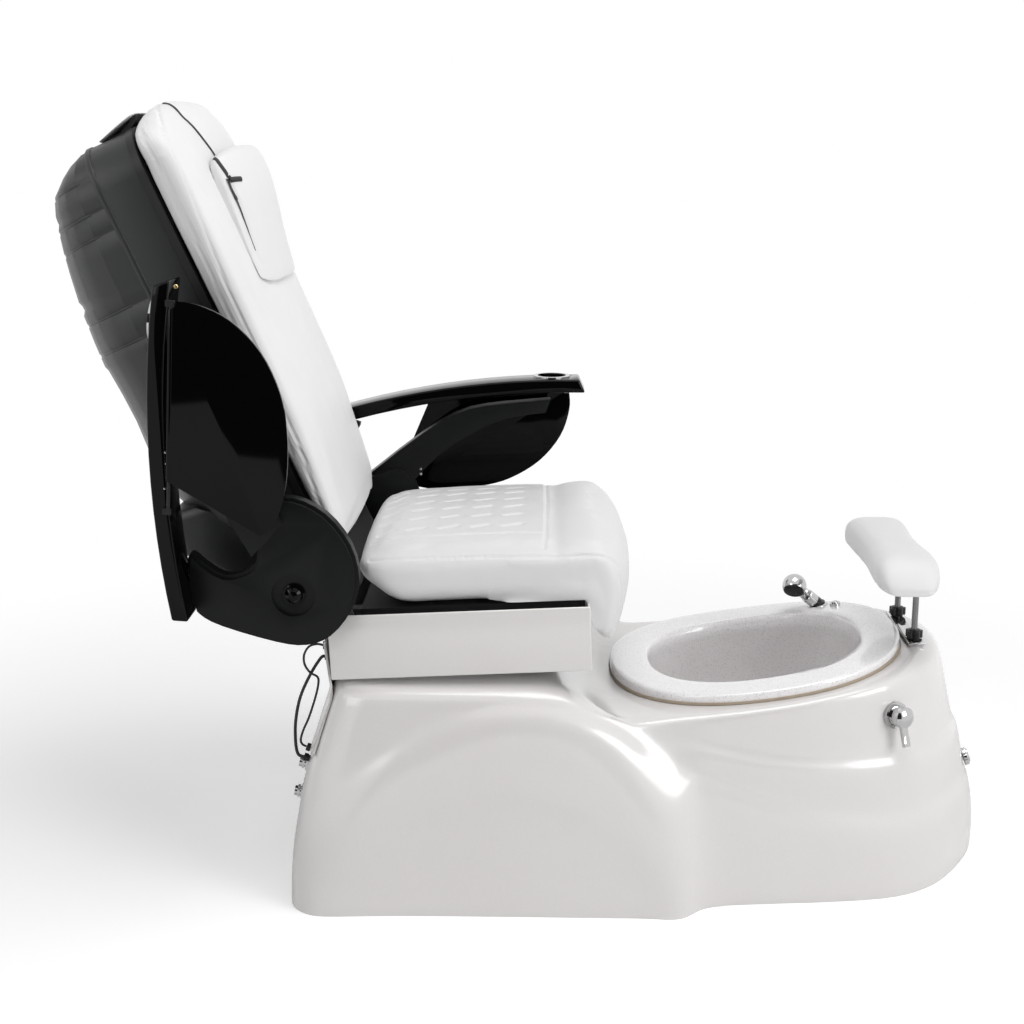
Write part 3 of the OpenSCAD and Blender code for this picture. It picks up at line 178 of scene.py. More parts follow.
class Finish:
    """A material under construction."""

    def __init__(self, name):
        self.material = bpy.data.materials.new(name)
        self.material.use_nodes = True
        self.tree = self.material.node_tree
        self.tree.nodes.clear()
        self.place = self.node("ShaderNodeTexCoord", out="Object")

    def node(self, kind, settings=None, inputs=None, out=0):
        """Any node: its settings first, then the values or wires of its sockets."""
        node = self.tree.nodes.new(kind)
        for key, value in (settings or {}).items():
            if key == "stops":
                ramp = node.color_ramp.elements
                while len(ramp) < len(value):
                    ramp.new(0.5)
                for element, (position, colour) in zip(ramp, value):
                    element.position = position
                    element.color = (*colour, 1)
            else:
                setattr(node, key, value)
        for key, value in (inputs or {}).items():
            plug(self.tree, value, node.inputs[key])
        return Wire(self.tree, node.outputs[out]) if len(node.outputs) else None

    def stretched(self, x, y, z):
        """Object coordinates scaled by a factor along each axis."""
        return self.node("ShaderNodeVectorMath", {"operation": "MULTIPLY"},
                         {0: self.place, 1: (x, y, z)})

    def noise(self, scale, detail=2.0, where=None):
        """Cloudy noise; the scale is in clouds for each metre."""
        return self.node("ShaderNodeTexNoise", None,
                         {"Vector": where or self.place, "Scale": scale, "Detail": detail})

    def cells(self, scale, out="Distance"):
        """Voronoi cells: the distance from each middle, or a random colour."""
        return self.node("ShaderNodeTexVoronoi", None,
                         {"Vector": self.place, "Scale": scale}, out)

    def part(self, kind, vector, out):
        """One channel of a vector or a colour."""
        socket = "Color" if kind == "Color" else "Vector"
        return self.node("ShaderNodeSeparate" + kind, None, {socket: vector}, out)

    def step(self, value, start, end):
        """A smooth step from 0 to 1 while the value goes from start to end."""
        return self.node("ShaderNodeMapRange", {"interpolation_type": "SMOOTHSTEP"},
                         {"Value": value, "From Min": start, "From Max": end})

    def blend(self, amount, first, second):
        """Mix two colours; the amount is a wire or a number."""
        return self.node("ShaderNodeMix", {"data_type": "RGBA"},
                         {0: amount, 6: first, 7: second}, 2)

    def between(self, value, low, high):
        """A value spread from 0..1 to low..high."""
        return value * (high - low) + low

    def bump(self, height, depth, under=None):
        """Relief of a given depth in metres, for the Normal socket."""
        inputs = {"Height": height, "Distance": depth, "Strength": 1.0}
        if under is not None:
            inputs["Normal"] = under
        return self.node("ShaderNodeBump", None, inputs)

    def surface(self, **sockets):
        """The closing shader; underscores stand for the spaces of socket names."""
        named = {key.replace("_", " "): value for key, value in sockets.items()}
        shader = self.node("ShaderNodeBsdfPrincipled", None, named)
        self.node("ShaderNodeOutputMaterial", None, {"Surface": shader})
        return self.material


def grey(value, warm=0.0):
    """A neutral colour, warmer above 0 and cooler below."""
    return (value * (1 + warm), value, value * (1 - warm), 1)


# %% [markdown]
# The base is a glass-fibre moulding under a pearly gel coat: a warm white with
# fine mica in it and a hard clear gloss. Slow noise keeps so large a surface from
# looking printed, and a trace of long-wave relief bends its highlights.

# %% Pearl gel coat
gel = Finish("pearl_gel_coat")
MICA_SCALE, MICA_CUT = 2600, 0.86
mica_glint = gel.part("Color", gel.cells(MICA_SCALE, "Color"), 0) > MICA_CUT
cloud = gel.noise(3.2, 3)
pearl = gel.blend(cloud, (0.73, 0.705, 0.695, 1), (0.79, 0.775, 0.77, 1))
pearl_coat = gel.surface(
    Base_Color=gel.blend(mica_glint * 0.35, pearl, (0.95, 0.93, 0.91, 1)),
    Roughness=gel.between(cloud, 0.20, 0.30),
    Normal=gel.bump(gel.noise(9, 1), 0.0012),
    Coat_Weight=0.8, Coat_Roughness=0.12, IOR=1.5)

# %% [markdown]
# The basin is cast resin with fine grey and rose chips. Voronoi cells picked by
# their random colour, and cut off near their centres, scatter the chips. The rim is
# painted a tone lighter than the bowl, as painted light on the faces that turn up to
# the lamps, so a mask follows the deck on which the rim lies. The deck rises towards
# the front, and curves up a little on both sides of its middle.

# %% Speckled basin resin
BASIN_X, DECK_Z = 406, 348
DECK_SLOPE, DECK_LIFT, DECK_REACH = 0.14, 10, 250
CHIP_SCALE, CHIP_CUT, CHIP_RADIUS = 480, 0.72, 0.42
stone = Finish("speckled_resin")
chip_tone = stone.cells(CHIP_SCALE, "Color")
pick, rose = stone.part("Color", chip_tone, 0), stone.part("Color", chip_tone, 1)
chip = (pick > CHIP_CUT) * ((CHIP_RADIUS - stone.cells(CHIP_SCALE)) > 0.0)
marble = stone.noise(14, 4)
from_middle = stone.part("XYZ", stone.place, 0) - BASIN_X / 1000
rim_height = (stone.part("XYZ", stone.place, 2) - DECK_Z / 1000 - from_middle * DECK_SLOPE
              - from_middle * from_middle * (1000 * DECK_LIFT / DECK_REACH ** 2))
# painted light: the rim, whose faces turn up to the lamps, is painted a tone lighter than the
# bowl
rim_painted_light = stone.step(rim_height, -0.016, 0.0)
body = stone.blend(rim_painted_light,
                   stone.blend(marble, (0.74, 0.72, 0.725, 1), (0.85, 0.835, 0.835, 1)),
                   stone.blend(marble, (0.88, 0.865, 0.87, 1), (0.94, 0.93, 0.93, 1)))
chip_colour = stone.blend(rose, (0.46, 0.43, 0.45, 1), (0.60, 0.46, 0.48, 1))
basin_resin = stone.surface(
    Base_Color=stone.blend(chip * 0.6, body, chip_colour),
    Roughness=stone.between(marble, 0.14, 0.22), Coat_Weight=0.8, Coat_Roughness=0.04)

# %% [markdown]
# Most other finishes share one recipe: two tones mixed by slow clouds, roughness
# that drifts between two values, and a relief of cells or noise at the scale of
# the real grain. The back cushion has a leather of its own: its side gussets are
# painted a tone darker than its face, which is painted shade.

# %% Leather, plastics, lacquer and metals
def finish(name, dark, light, rough, clouds=12, grain=None, depth=0.0, cells=False,
           stretch=None, wave=None, **extra):
    """Two tones, a span of roughness and the scale of the clouds, then the scale and
    depth of the grain; wave is the (scale, depth) of a slower relief beneath."""
    made = Finish(name)
    slow = made.noise(clouds, 3)
    normal = None
    if wave:
        normal = made.bump(made.noise(wave[0], 1), wave[1])
    if grain:
        where = made.stretched(*stretch) if stretch else None
        relief = made.cells(grain) if cells else made.noise(grain, 2, where)
        normal = made.bump(relief, depth, normal)
    sockets = dict(Base_Color=made.blend(slow, dark, light),
                   Roughness=made.between(slow, *rough), **extra)
    if normal is not None:
        sockets["Normal"] = normal
    return made.surface(**sockets)


PORES, PORE_DEPTH = 1100, 0.00022
CREASES, CREASE_DEPTH = 26, 0.0010
GUSSET_SHADE_START, GUSSET_SHADE_END = 0.236, 0.256
white_leather = finish("white_leather", grey(0.76), grey(0.82), (0.38, 0.48), 9, PORES,
                       PORE_DEPTH, True, wave=(CREASES, CREASE_DEPTH), Sheen_Weight=0.05)
# painted shade: across 236 to 256 mm out from the middle, the gussets of the back cushion get a
# darker leather
sides = Finish("white_leather_gusset_shade")
gusset_shade = sides.step(abs(sides.part("XYZ", sides.place, 1)), GUSSET_SHADE_START, GUSSET_SHADE_END)
mottle = sides.noise(9, 3)
back_leather_shaded = sides.surface(
    Base_Color=sides.blend(gusset_shade, sides.blend(mottle, grey(0.78), grey(0.84)),
                           sides.blend(mottle, grey(0.58), grey(0.65))),
    Roughness=sides.between(mottle, 0.38, 0.48), Sheen_Weight=0.05,
    Normal=sides.bump(sides.cells(PORES), PORE_DEPTH,
                      sides.bump(sides.noise(CREASES, 1), CREASE_DEPTH)))
grained_dark = finish("grained_dark_plastic", grey(0.006, -0.10), grey(0.011, -0.10),
                      (0.32, 0.42), 6, 1500, 0.00012, True)
lacquer = finish("black_lacquer", grey(0.0014), grey(0.0020), (0.05, 0.08), 5,
                 wave=(5, 0.0004), Specular_IOR_Level=0.15)
casting = finish("satin_casting", grey(0.004, -0.10), grey(0.007, -0.10), (0.34, 0.44), 8,
                 1300, 0.00012, Specular_IOR_Level=0.2)
enamel = finish("frame_enamel", grey(0.05), grey(0.07), (0.35, 0.5), 10, 500, 0.0002)
brushed = finish("brushed_steel", grey(0.55), grey(0.66), (0.22, 0.34), 20, 900, 0.00004,
                 stretch=(0.03, 1, 1), Metallic=1.0)
chrome = finish("chrome", grey(0.50), grey(0.58), (0.04, 0.09), 30, Metallic=1.0)
black_plastic = finish("black_plastic", grey(0.006), grey(0.011), (0.32, 0.45), 10, 1600,
                       0.00012, Specular_IOR_Level=0.35)
rubber = finish("black_rubber", grey(0.012), grey(0.018), (0.5, 0.65), 14, 700, 0.0002)
# painted shade: the tan bead is partly sealant and partly the shade under the basin rim
sealant_and_rim_shade = finish("tan_sealant_and_rim_shade", (0.34, 0.27, 0.20, 1), (0.48, 0.40, 0.31, 1),
                 (0.5, 0.7), 60, 300, 0.0004)
brass = finish("brass_screw", (0.62, 0.47, 0.22, 1), (0.72, 0.56, 0.28, 1), (0.2, 0.3), 90,
               Metallic=1.0)
# dark zip tape; the same tape also serves as painted shade under the top flap and beside the
# pillow
zip_tape_and_gap_shade = finish("zip_tape_and_gap_shade", grey(0.010), grey(0.016), (0.5, 0.7), 200, 900, 0.0006)

by_slot = {"pearl_gelcoat": pearl_coat, "basin_resin": basin_resin,
           "white_leather": white_leather, "dark_plastic": grained_dark,
           "black_gloss": lacquer, "bracket_coat": casting, "frame_paint": enamel,
           "bright_steel": brushed, "chrome": chrome, "black_plastic": black_plastic,
           "black_rubber": rubber}
for name, node in frame["nodes"].items():
    node.data.materials.clear()
    node.data.materials.append(by_slot[slot_of[name]])
for cable in cables.values():
    cable.data.materials.append(rubber)
print(len(by_slot), "slot finishes")

# %% [markdown]
# The seat, the back and the two arms each have their own frame, most of them tilted
# against the floor. These place a point, given in millimetres in such a frame, in the
# room. The back and both arms turn about one pivot line.

# %% Frames of the seat, the back and the arms
PIVOT = (-386, 0, 552)


def framed(origin, degrees, flip=1):
    """A frame at an origin in mm, tipped about Y; flip -1 mirrors it across Y."""
    turn = Matrix.Rotation(math.radians(degrees), 4, "Y")
    return (Matrix.Translation(Vector(origin) / 1000) @ turn
            @ Matrix.Diagonal((0.001, 0.001 * flip, 0.001, 1)))


SEAT = framed((-100, 0, 519), -2.6)
BACK = framed(PIVOT, -24.3)
LEFT = framed(PIVOT, 0)
RIGHT = framed(PIVOT, -82, -1)
ROOM = framed((0, 0, 0), 0)
print("back stands", [round(c, 3) for c in BACK @ Vector((0, 0, 800))], "at 800 mm")

# %% [markdown]
# Helpers for making a piece: start from the CAD solid with its corners joined, cut,
# close or round it, then dress it, which gives it a finish, a body to ride on and the
# solid that it stands for.

# %% Helpers for making pieces
def merged(node):
    """The mesh of a CAD piece with its corners joined and all faces outward."""
    bm = bmesh.new()
    bm.from_mesh(frame["nodes"][node].data)
    bmesh.ops.remove_doubles(bm, verts=bm.verts, dist=2e-5)
    bmesh.ops.recalc_face_normals(bm, faces=bm.faces)
    return bm


def made(name, bm, sharp=40):
    """A new object from a bmesh, smooth except at edges sharper than the angle."""
    mesh = bpy.data.meshes.new(name)
    bm.normal_update()
    bm.to_mesh(mesh)
    bm.free()
    mesh.shade_smooth()
    mesh.set_sharp_from_angle(angle=math.radians(sharp))
    thing = bpy.data.objects.new(name, mesh)
    bpy.context.scene.collection.objects.link(thing)
    return thing


def dress(thing, material, node, stands=True):
    """Give a piece its finish and body; stands: it replaces the CAD piece."""
    thing.data.materials.clear()
    thing.data.materials.append(material)
    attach(thing, body_of[node])
    if stands:
        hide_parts(node)
    return thing


def bend_of(edge):
    """The angle between the two faces of an edge."""
    return edge.calc_face_angle(0.0) if len(edge.link_faces) == 2 else 0.0


def cut(bm, point, normal, clear=True):
    """Cut a mesh by a plane and, with clear, remove what lies beyond it."""
    bmesh.ops.bisect_plane(bm, geom=bm.verts[:] + bm.edges[:] + bm.faces[:], dist=1e-7,
                           plane_co=point, plane_no=normal, clear_outer=clear)


def close_up(bm):
    """Fill every open border and turn all faces outward."""
    bmesh.ops.holes_fill(bm, edges=[e for e in bm.edges if e.is_boundary])
    bmesh.ops.recalc_face_normals(bm, faces=bm.faces)


def soften(bm, edges, width, segments=2):
    """Round the given edges by a width in metres."""
    bmesh.ops.bevel(bm, geom=edges, offset=width, offset_type="OFFSET", segments=segments,
                    profile=0.5, affect="EDGES", clamp_overlap=True, material=-1)


def bevelled(node, width, material, segments=2, plane=None):
    """A CAD piece with its hard edges rounded, cut off at a plane if one is given."""
    bm = merged(node)
    bmesh.ops.dissolve_limit(bm, angle_limit=math.radians(1), verts=bm.verts, edges=bm.edges)
    if plane:
        cut(bm, *plane)
        close_up(bm)
    soften(bm, [e for e in bm.edges if bend_of(e) > math.radians(30)], width, segments)
    return dress(made(node + "_body", bm), material, node)


def quads(bm):
    """Pair the triangles of a lofted solid back into quads."""
    bmesh.ops.join_triangles(bm, faces=bm.faces, angle_face_threshold=math.radians(60),
                             angle_shape_threshold=math.radians(80))


def rounded(thing, levels=1, crease=None):
    """A subdivision surface that keeps the edges sharper than crease."""
    if crease is not None:
        bm = bmesh.new()
        bm.from_mesh(thing.data)
        layer = bm.edges.layers.float.new("crease_edge")
        for edge in bm.edges:
            edge[layer] = 1.0 if bend_of(edge) > math.radians(crease) else 0.0
        bm.to_mesh(thing.data)
        bm.free()
    smooth = thing.modifiers.new("smooth", "SUBSURF")
    smooth.levels = smooth.render_levels = levels
    return thing


def bake(thing):
    """Replace the mesh by what its modifiers make of it."""
    graph = bpy.context.evaluated_depsgraph_get()
    mesh = bpy.data.meshes.new_from_object(thing.evaluated_get(graph))
    thing.modifiers.clear()
    thing.data = mesh
    return thing


def lofted(rings, closed=True):
    """Rings of points in metres, bridged one to the next; closed joins the ends."""
    bm = bmesh.new()
    loops = []
    for ring in rings:
        row = [bm.verts.new(p) for p in ring]
        loops.append([bm.edges.new(pair) for pair in zip(row, row[1:] + row[:1])])
    for a, b in zip(loops, loops[1:] + loops[:1] if closed else loops[1:]):
        bmesh.ops.bridge_loops(bm, edges=a + b)
    bmesh.ops.recalc_face_normals(bm, faces=bm.faces)
    return bm

# %% [markdown]
# The moulded base and its rear panel are lofted shells. Their triangles pair back
# into quads, and one level of subdivision turns the loft into flowing surfaces, while
# creases keep the rims and cut-outs crisp.

# %% Moulded base and rear panel
for node, crease in (("base_shell", 46), ("rear_access_panel", 60)):
    bm = merged(node)
    quads(bm)
    moulding = made(node + "_moulding", bm, sharp=50)
    shell = dress(rounded(moulding, crease=crease), pearl_coat, node)
    print(node, len(shell.data.polygons), "faces")

# %% [markdown]
# The basin drops into an oval opening and hangs on its rim, a superellipse that lies on
# the deck. The rim is widened inwards by moving the wall under it, which leaves the
# wall its thickness because both faces move together. The shift fades out 60 mm down.

# %% Basin
RIM_LONG, RIM_WIDE, RIM_POWER = 261, 250, 2.38
RIM_EDGE, RIM_FADE, RIM_SHIFT, SHIFT_DEPTH = 0.93, 0.03, 0.060, 60


def deck(x):
    """Height of the deck at a place along the chair, both in mm."""
    return DECK_Z + DECK_SLOPE * (x - BASIN_X) + DECK_LIFT * ((x - BASIN_X) / DECK_REACH) ** 2


bm = merged("basin")
quads(bm)
for vert in bm.verts:
    x, y = vert.co.x - BASIN_X / 1000, vert.co.y
    reach = (abs(x * 1000 / RIM_LONG) ** RIM_POWER
             + abs(y * 1000 / RIM_WIDE) ** RIM_POWER) ** (1 / RIM_POWER)
    height = (vert.co.z * 1000 - deck(vert.co.x * 1000)) / SHIFT_DEPTH + 1
    if reach < RIM_EDGE and height > 0:
        widen = RIM_SHIFT * min(height, 1) * min((RIM_EDGE - reach) / RIM_FADE, 1)
        vert.co.x -= x * widen / reach
        vert.co.y -= y * widen / reach
dress(rounded(made("basin_bowl", bm, sharp=60), crease=70), basin_resin, "basin")

# %% [markdown]
# A bead of tan sealant closes the joint between the rim of the basin and the deck. Its
# tan is partly the sealant's own colour and partly painted shade under the rim. It
# follows the rim round, and its five rings outline a low fillet.

# %% Sealant and painted shade under the rim
def rim(inset, lift, count=96):
    """Points round the rim, moved in and up by distances in mm."""
    ring = []
    for i in range(count):
        a = 2 * math.pi * i / count
        r = (abs(math.cos(a) / (RIM_LONG - inset)) ** RIM_POWER
             + abs(math.sin(a) / (RIM_WIDE - inset)) ** RIM_POWER) ** (-1 / RIM_POWER)
        x = BASIN_X + r * math.cos(a)
        ring.append(Vector((x, r * math.sin(a), deck(x) + lift)) / 1000)
    return ring


bead = made("sealant_and_shade_bead", lofted([rim(2.0, 5.5), rim(-0.2, 5), rim(-0.8, 3), rim(-0.8, 1),
                                    rim(2.0, 0.5)]))
dress(bead, sealant_and_rim_shade, "basin", stands=False)

# %% [markdown]
# The rear cover has narrow joints pressed across its back. Planes cut across the shell
# give each joint its own edges, and the points between them move inward. Below it a
# closing panel, bevelled from one profile, shuts the cover above the pivot; its lower
# part reaches further down as painted shade for the notch of the bracket. Two thin
# hoops run round the housing: a black band in front, and the joint with the cover.

# %% Rear cover and surround
bm = merged("rear_cover")
quads(bm)
into = BACK.inverted()
across = BACK.to_3x3() @ Vector((0, 0, 1))
GROOVES = ((474, 477), (528, 531), (648, 651), (684, 688), (736, 740))
GROOVE_DEPTH, REAR_SKIN = 0.0028, -22
for low, high in GROOVES:
    for z in (low - 2, low, high, high + 2):
        cut(bm, BACK @ Vector((0, 0, z)), across, False)
bm.normal_update()
for vert in bm.verts:
    here = into @ vert.co
    for low, high in GROOVES:
        if low - 0.5 < here.z < high + 0.5 and here.x < REAR_SKIN:
            vert.co -= vert.normal * GROOVE_DEPTH
dress(made("rear_cover_shell", bm, sharp=28), grained_dark, "rear_cover")
bevelled("back_surround", 0.0035, grained_dark, segments=3)

# The foot reaches lower than the panel; the extra reach is painted shade, its dark face
# standing in for the shade inside the bracket's notch below.
TAIL = [(-17, 128), (-70, 150), (-120, 185), (-158, 190), (-170, 160), (-172, 118),
        (-150, 88), (-96, 44), (-60, 30), (-17, 50)]
TAIL_HALF, TAIL_ROUND = 214, 0.045
bm = bmesh.new()
side = bm.faces.new([bm.verts.new(BACK @ Vector((x, -TAIL_HALF, z))) for x, z in TAIL])
grown = bmesh.ops.extrude_face_region(bm, geom=[side])["geom"]
bmesh.ops.translate(bm, verts=[v for v in grown if isinstance(v, bmesh.types.BMVert)],
                    vec=(0, 2 * TAIL_HALF / 1000, 0))
bmesh.ops.recalc_face_normals(bm, faces=bm.faces)
rear = [e for e in bm.edges if abs(e.verts[0].co.y - e.verts[1].co.y) < 1e-6
        and (into @ e.verts[0].co).x < -100 and (into @ e.verts[1].co).x < -100]
soften(bm, rear, TAIL_ROUND, segments=5)
dress(made("rear_cover_foot", bm, sharp=35), grained_dark, "rear_cover", stands=False)


def housing(inset):
    """Front outline of the massage housing, with its round corners."""
    w, low, high = 246 - inset, 95 + inset, 785 - inset
    top, foot = 75 - inset, 34 - inset
    ring = []
    for cy, cz, r, start in ((w - foot, low + foot, foot, -90), (w - top, high - top, top, 0),
                             (top - w, high - top, top, 90), (foot - w, low + foot, foot, 180)):
        for k in range(9):
            a = math.radians(start + 90 * k / 8)
            ring.append((cy + r * math.cos(a), cz + r * math.sin(a)))
    return ring


def hoop(name, stations, material, node):
    """A hoop round the housing; each station is (depth, inset)."""
    rings = [[BACK @ Vector((x, y, z)) for y, z in housing(inset)] for x, inset in stations]
    return dress(made(name, lofted(rings)), material, node, stands=False)


# A black band round the front of the housing, between it and the cushion.
hoop("black_front_band", [(58, -0.4), (58, -1.4), (70.4, -1.6), (70.4, 4)], black_plastic,
     "back_surround")
hoop("rear_joint", [(-16.6, -0.3), (-15, -1.6), (-9, -1.6), (-7, -0.3)], grained_dark,
     "back_surround")

# %% [markdown]
# A cushion is a foam block in a sewn cover. A slightly smaller copy of its solid is
# remeshed finely and blown up as cloth for twenty frames, with no gravity, so that it
# crowns, pulls tight over its edges and wrinkles a little. Where it rests on a board
# it stays flat. Cloth draws its thin ends in, so each point is then brought back to
# within 2.5 millimetres of the solid, the surface is relaxed, and last a rule of the
# cushion's own settles its underside. The fine mesh is laid out in the cushion's own
# frame, so that it runs along the cushion and not askew.

# %% Blowing up a cushion
PAD_INSET, PAD_RISE, PAD_REACH = 0.0045, 0.009, 0.0025
BLOWN_FRAMES = 20


def fitted(thing, node, reach, passes=3):
    """Keep a pad within a distance, in metres, of its solid, then relax it."""
    bm = merged(node)
    skin = BVHTree.FromBMesh(bm)
    bm.free()
    for vert in thing.data.vertices:
        near, normal = skin.find_nearest(vert.co)[:2]
        height = (vert.co - near).dot(normal)
        gap = (vert.co - near).length * (1 if height > 0 else -1)
        wanted = min(max(gap, -reach), reach)
        vert.co = near + (vert.co - near) * (wanted / gap) if abs(gap) > 1e-6 else near
    bm = bmesh.new()
    bm.from_mesh(thing.data)
    for _ in range(passes):
        bmesh.ops.smooth_vert(bm, verts=bm.verts, factor=0.5, use_axis_x=True,
                              use_axis_y=True, use_axis_z=True)
    bm.to_mesh(thing.data)
    bm.free()


def swollen(node, voxel, local, settle):
    """A blown-up cushion; settle moves each point of it, in the frame local."""
    tilt = local.to_quaternion().to_matrix().to_4x4()
    bm = merged(node)
    bm.normal_update()
    for vert in bm.verts:
        vert.co -= vert.normal * PAD_INSET
    bm.transform(tilt.inverted())
    thing = made(node + "_pad", bm)
    remesh = thing.modifiers.new("remesh", "REMESH")
    remesh.mode = "VOXEL"
    remesh.voxel_size = voxel
    bake(thing)
    start = [v.co.copy() for v in thing.data.vertices]
    cloth = thing.modifiers.new("cover", "CLOTH")
    rule = cloth.settings
    rule.quality = 4
    rule.mass = 0.3
    rule.tension_stiffness = rule.compression_stiffness = 12
    rule.bending_stiffness = 0.6
    rule.use_pressure = True
    rule.uniform_pressure_force = 4
    rule.effector_weights.gravity = 0
    cloth.point_cache.frame_start, cloth.point_cache.frame_end = 1, BLOWN_FRAMES
    for step in range(1, BLOWN_FRAMES + 1):
        bpy.context.scene.frame_set(step)
    bake(thing)
    bpy.context.scene.frame_set(1)
    for vert, was in zip(thing.data.vertices, start):
        moved = vert.co - was
        if moved.length > PAD_RISE:
            vert.co = was + moved.normalized() * PAD_RISE
    thing.data.transform(tilt)
    fitted(thing, node, PAD_REACH)
    back = local.inverted()
    for vert in thing.data.vertices:
        here = back @ vert.co
        settle(here)
        vert.co = local @ here
    rounded(thing)
    bake(thing)
    print(node, len(thing.data.vertices), "points")
    return thing

# %% [markdown]
# Seams and quilting come after the cloth. A smooth line is laid on the surface, points
# near it sink along their normals, and the cover puckers slightly beside it, as far
# away as six times the width of the seam.

# %% Sewing
PUCKER_WIDTHS = 6


def laid(thing, place, points, steps=10):
    """A line of control points in mm, smoothed and dropped onto the surface."""
    bm = bmesh.new()
    bm.from_mesh(thing.data)
    tree = BVHTree.FromBMesh(bm)
    bm.free()
    return [tree.find_nearest(place @ p)[:2] for p in smooth_path(points, steps)]


def sew(thing, lines, width, depth, pucker=0.0006):
    """Sink the surface along lines of (point, normal) pairs; all sizes in metres."""
    points = [p for line in lines for a, b in zip(line, line[1:])
              for p in (a[0], a[0].lerp(b[0], 1 / 3), a[0].lerp(b[0], 2 / 3))]
    near = KDTree(len(points))
    for i, p in enumerate(points):
        near.insert(p, i)
    near.balance()
    moves = []
    for vert in thing.data.vertices:
        gap = near.find(vert.co)[2]
        if gap < PUCKER_WIDTHS * width:
            sink = depth * (1 - gap / width) ** 2 * (1 + 2 * gap / width) if gap < width else 0
            swell = pucker * noise.noise(vert.co * 70) * math.exp(-gap / (2 * width))
            moves.append((vert, vert.normal * (swell - sink)))
    for vert, move in moves:
        vert.co += move

# %% [markdown]
# The seat cushion is one long pad that rolls over the front. Its top is quilted with
# short sewn channels, framed by seams, and side gussets close it. Behind the roll its
# underside is kept flat, just above the plane of the seat pan.

# %% Seat cushion
SEAT_UNDERSIDE, ROLL_START = 2.6, 200


def seat_floor(here):
    if here.x < ROLL_START:
        here.z = max(here.z, SEAT_UNDERSIDE)


seat_pad = swollen("seat_cushion", voxel=0.0065, local=SEAT, settle=seat_floor)
seams = []
for side in (-1, 1):
    seams.append(laid(seat_pad, SEAT, [(-170, side * 262, 101), (-79, side * 262, 92),
                                       (54, side * 262, 84), (153, side * 262, 80),
                                       (219, side * 262, 76), (262, side * 258, 66)]))
    seams.append(laid(seat_pad, SEAT, [(264, side * 254, 60), (267, side * 254, 20),
                                       (264, side * 254, -22), (248, side * 256, -64)]))
    seams.append(laid(seat_pad, SEAT, [(-172, side * 192, 112), (-80, side * 192, 114),
                                       (20, side * 192, 114), (130, side * 192, 112)]))
seams.append(laid(seat_pad, SEAT, [(132, y, 112) for y in (-250, -192, -60, 60, 192, 250)]))
sew(seat_pad, seams, width=0.0060, depth=0.0020)
quilting = [laid(seat_pad, SEAT, [(x, y - 5, 114), (x + 14, y, 114), (x + 28, y + 5, 114)],
                 steps=6)
            for x in (-160, -105, -50, 5, 60) for y in (-150, -90, -30, 30, 90, 150)]
sew(seat_pad, quilting, width=0.009, depth=0.0026, pucker=0.0)
dress(seat_pad, white_leather, "seat_cushion")

# %% [markdown]
# The back cushion is taller than the housing and crowned across. A gusset runs down
# each side between two seams, and a zip crosses its upper near corner. Behind the
# face, both upper corners are drawn 12 mm back and 5 mm up, onto the housing.

# %% Back cushion
BACK_BOARD = 71.4


def share(value, span):
    """How far a value is on its way through a span, from 0 to 1."""
    return min(max(value / span, 0), 1)


def back_floor(here):
    corner = share(here.z - 725, 50) * share(abs(here.y) - 180, 50) * share(130 - here.x, 25)
    here.x -= 12 * corner
    here.z += 5 * corner
    here.x = max(here.x, BACK_BOARD)


back_pad = swollen("back_cushion", voxel=0.0075, local=BACK, settle=back_floor)
RIDGE = [(111, 134, 809), (118, 200, 775), (125, 239, 733), (125.3, 247.7, 671),
         (120, 253, 599), (114.7, 258, 527), (110, 261, 456), (109, 261, 350), (106, 261, 240),
         (96, 261, 150), (84, 258, 95)]
REAR_SEAM = [(88, 235, 776), (96, 262, 708), (95, 262, 646), (96.5, 262, 594),
             (96, 262, 512), (88, 262, 400), (86, 262, 300), (82, 262, 200)]
seams = []
for side in (-1, 1):
    seams.append(laid(back_pad, BACK, [(x, side * y, z) for x, y, z in RIDGE]))
    seams.append(laid(back_pad, BACK, [(x, side * y, z) for x, y, z in REAR_SEAM]))
seams.append(laid(back_pad, BACK, [(111, y, 809) for y in (-134, -60, 0, 60, 134)]))
sew(back_pad, seams, width=0.0060, depth=0.0022)
dress(back_pad, back_leather_shaded, "back_cushion")

# %% [markdown]
# The head pillow hangs on the cushion: a flat wedge, thick at its top. Subdivision
# rounds its solid, and a seam runs down each side.

# %% Head pillow
bm = merged("head_pillow")
quads(bm)
pillow = bake(rounded(made("head_pillow_pad", bm, sharp=80), levels=3))
WEDGE = [(171, 155, 654), (170.5, 155.6, 636), (169, 154, 607), (165, 153, 567),
         (160, 151, 527), (157.5, 149, 504)]
sew(pillow, [laid(pillow, BACK, [(x, side * y, z) for x, y, z in WEDGE]) for side in (-1, 1)],
    width=0.004, depth=0.0026)
dress(pillow, white_leather, "head_pillow")

# %% [markdown]
# The footrest is a saddle: high at both ends and low in the middle, where the heels
# lie. Its solid has the right outline already, so subdivision rounds it, and two seams
# run along its top edges.

# %% Footrest pad
bm = merged("footrest_pad")
quads(bm)
rest = bake(rounded(made("footrest_saddle", bm, sharp=80), levels=3))
sew(rest, [laid(rest, ROOM, [(650 + s * 52, y, 524) for y in (-150, -75, 0, 75, 150)])
           for s in (-1, 1)], width=0.004, depth=0.0015)
dress(rest, white_leather, "footrest_pad")

# %% [markdown]
# A flap of leather closes the gap between the top of the cushion and the housing. It is
# one thin sheet with a thickness. Below it hangs a dark wedge, the solid of the flap
# made narrower and shorter, which is painted shade for the hollow under the sheet.

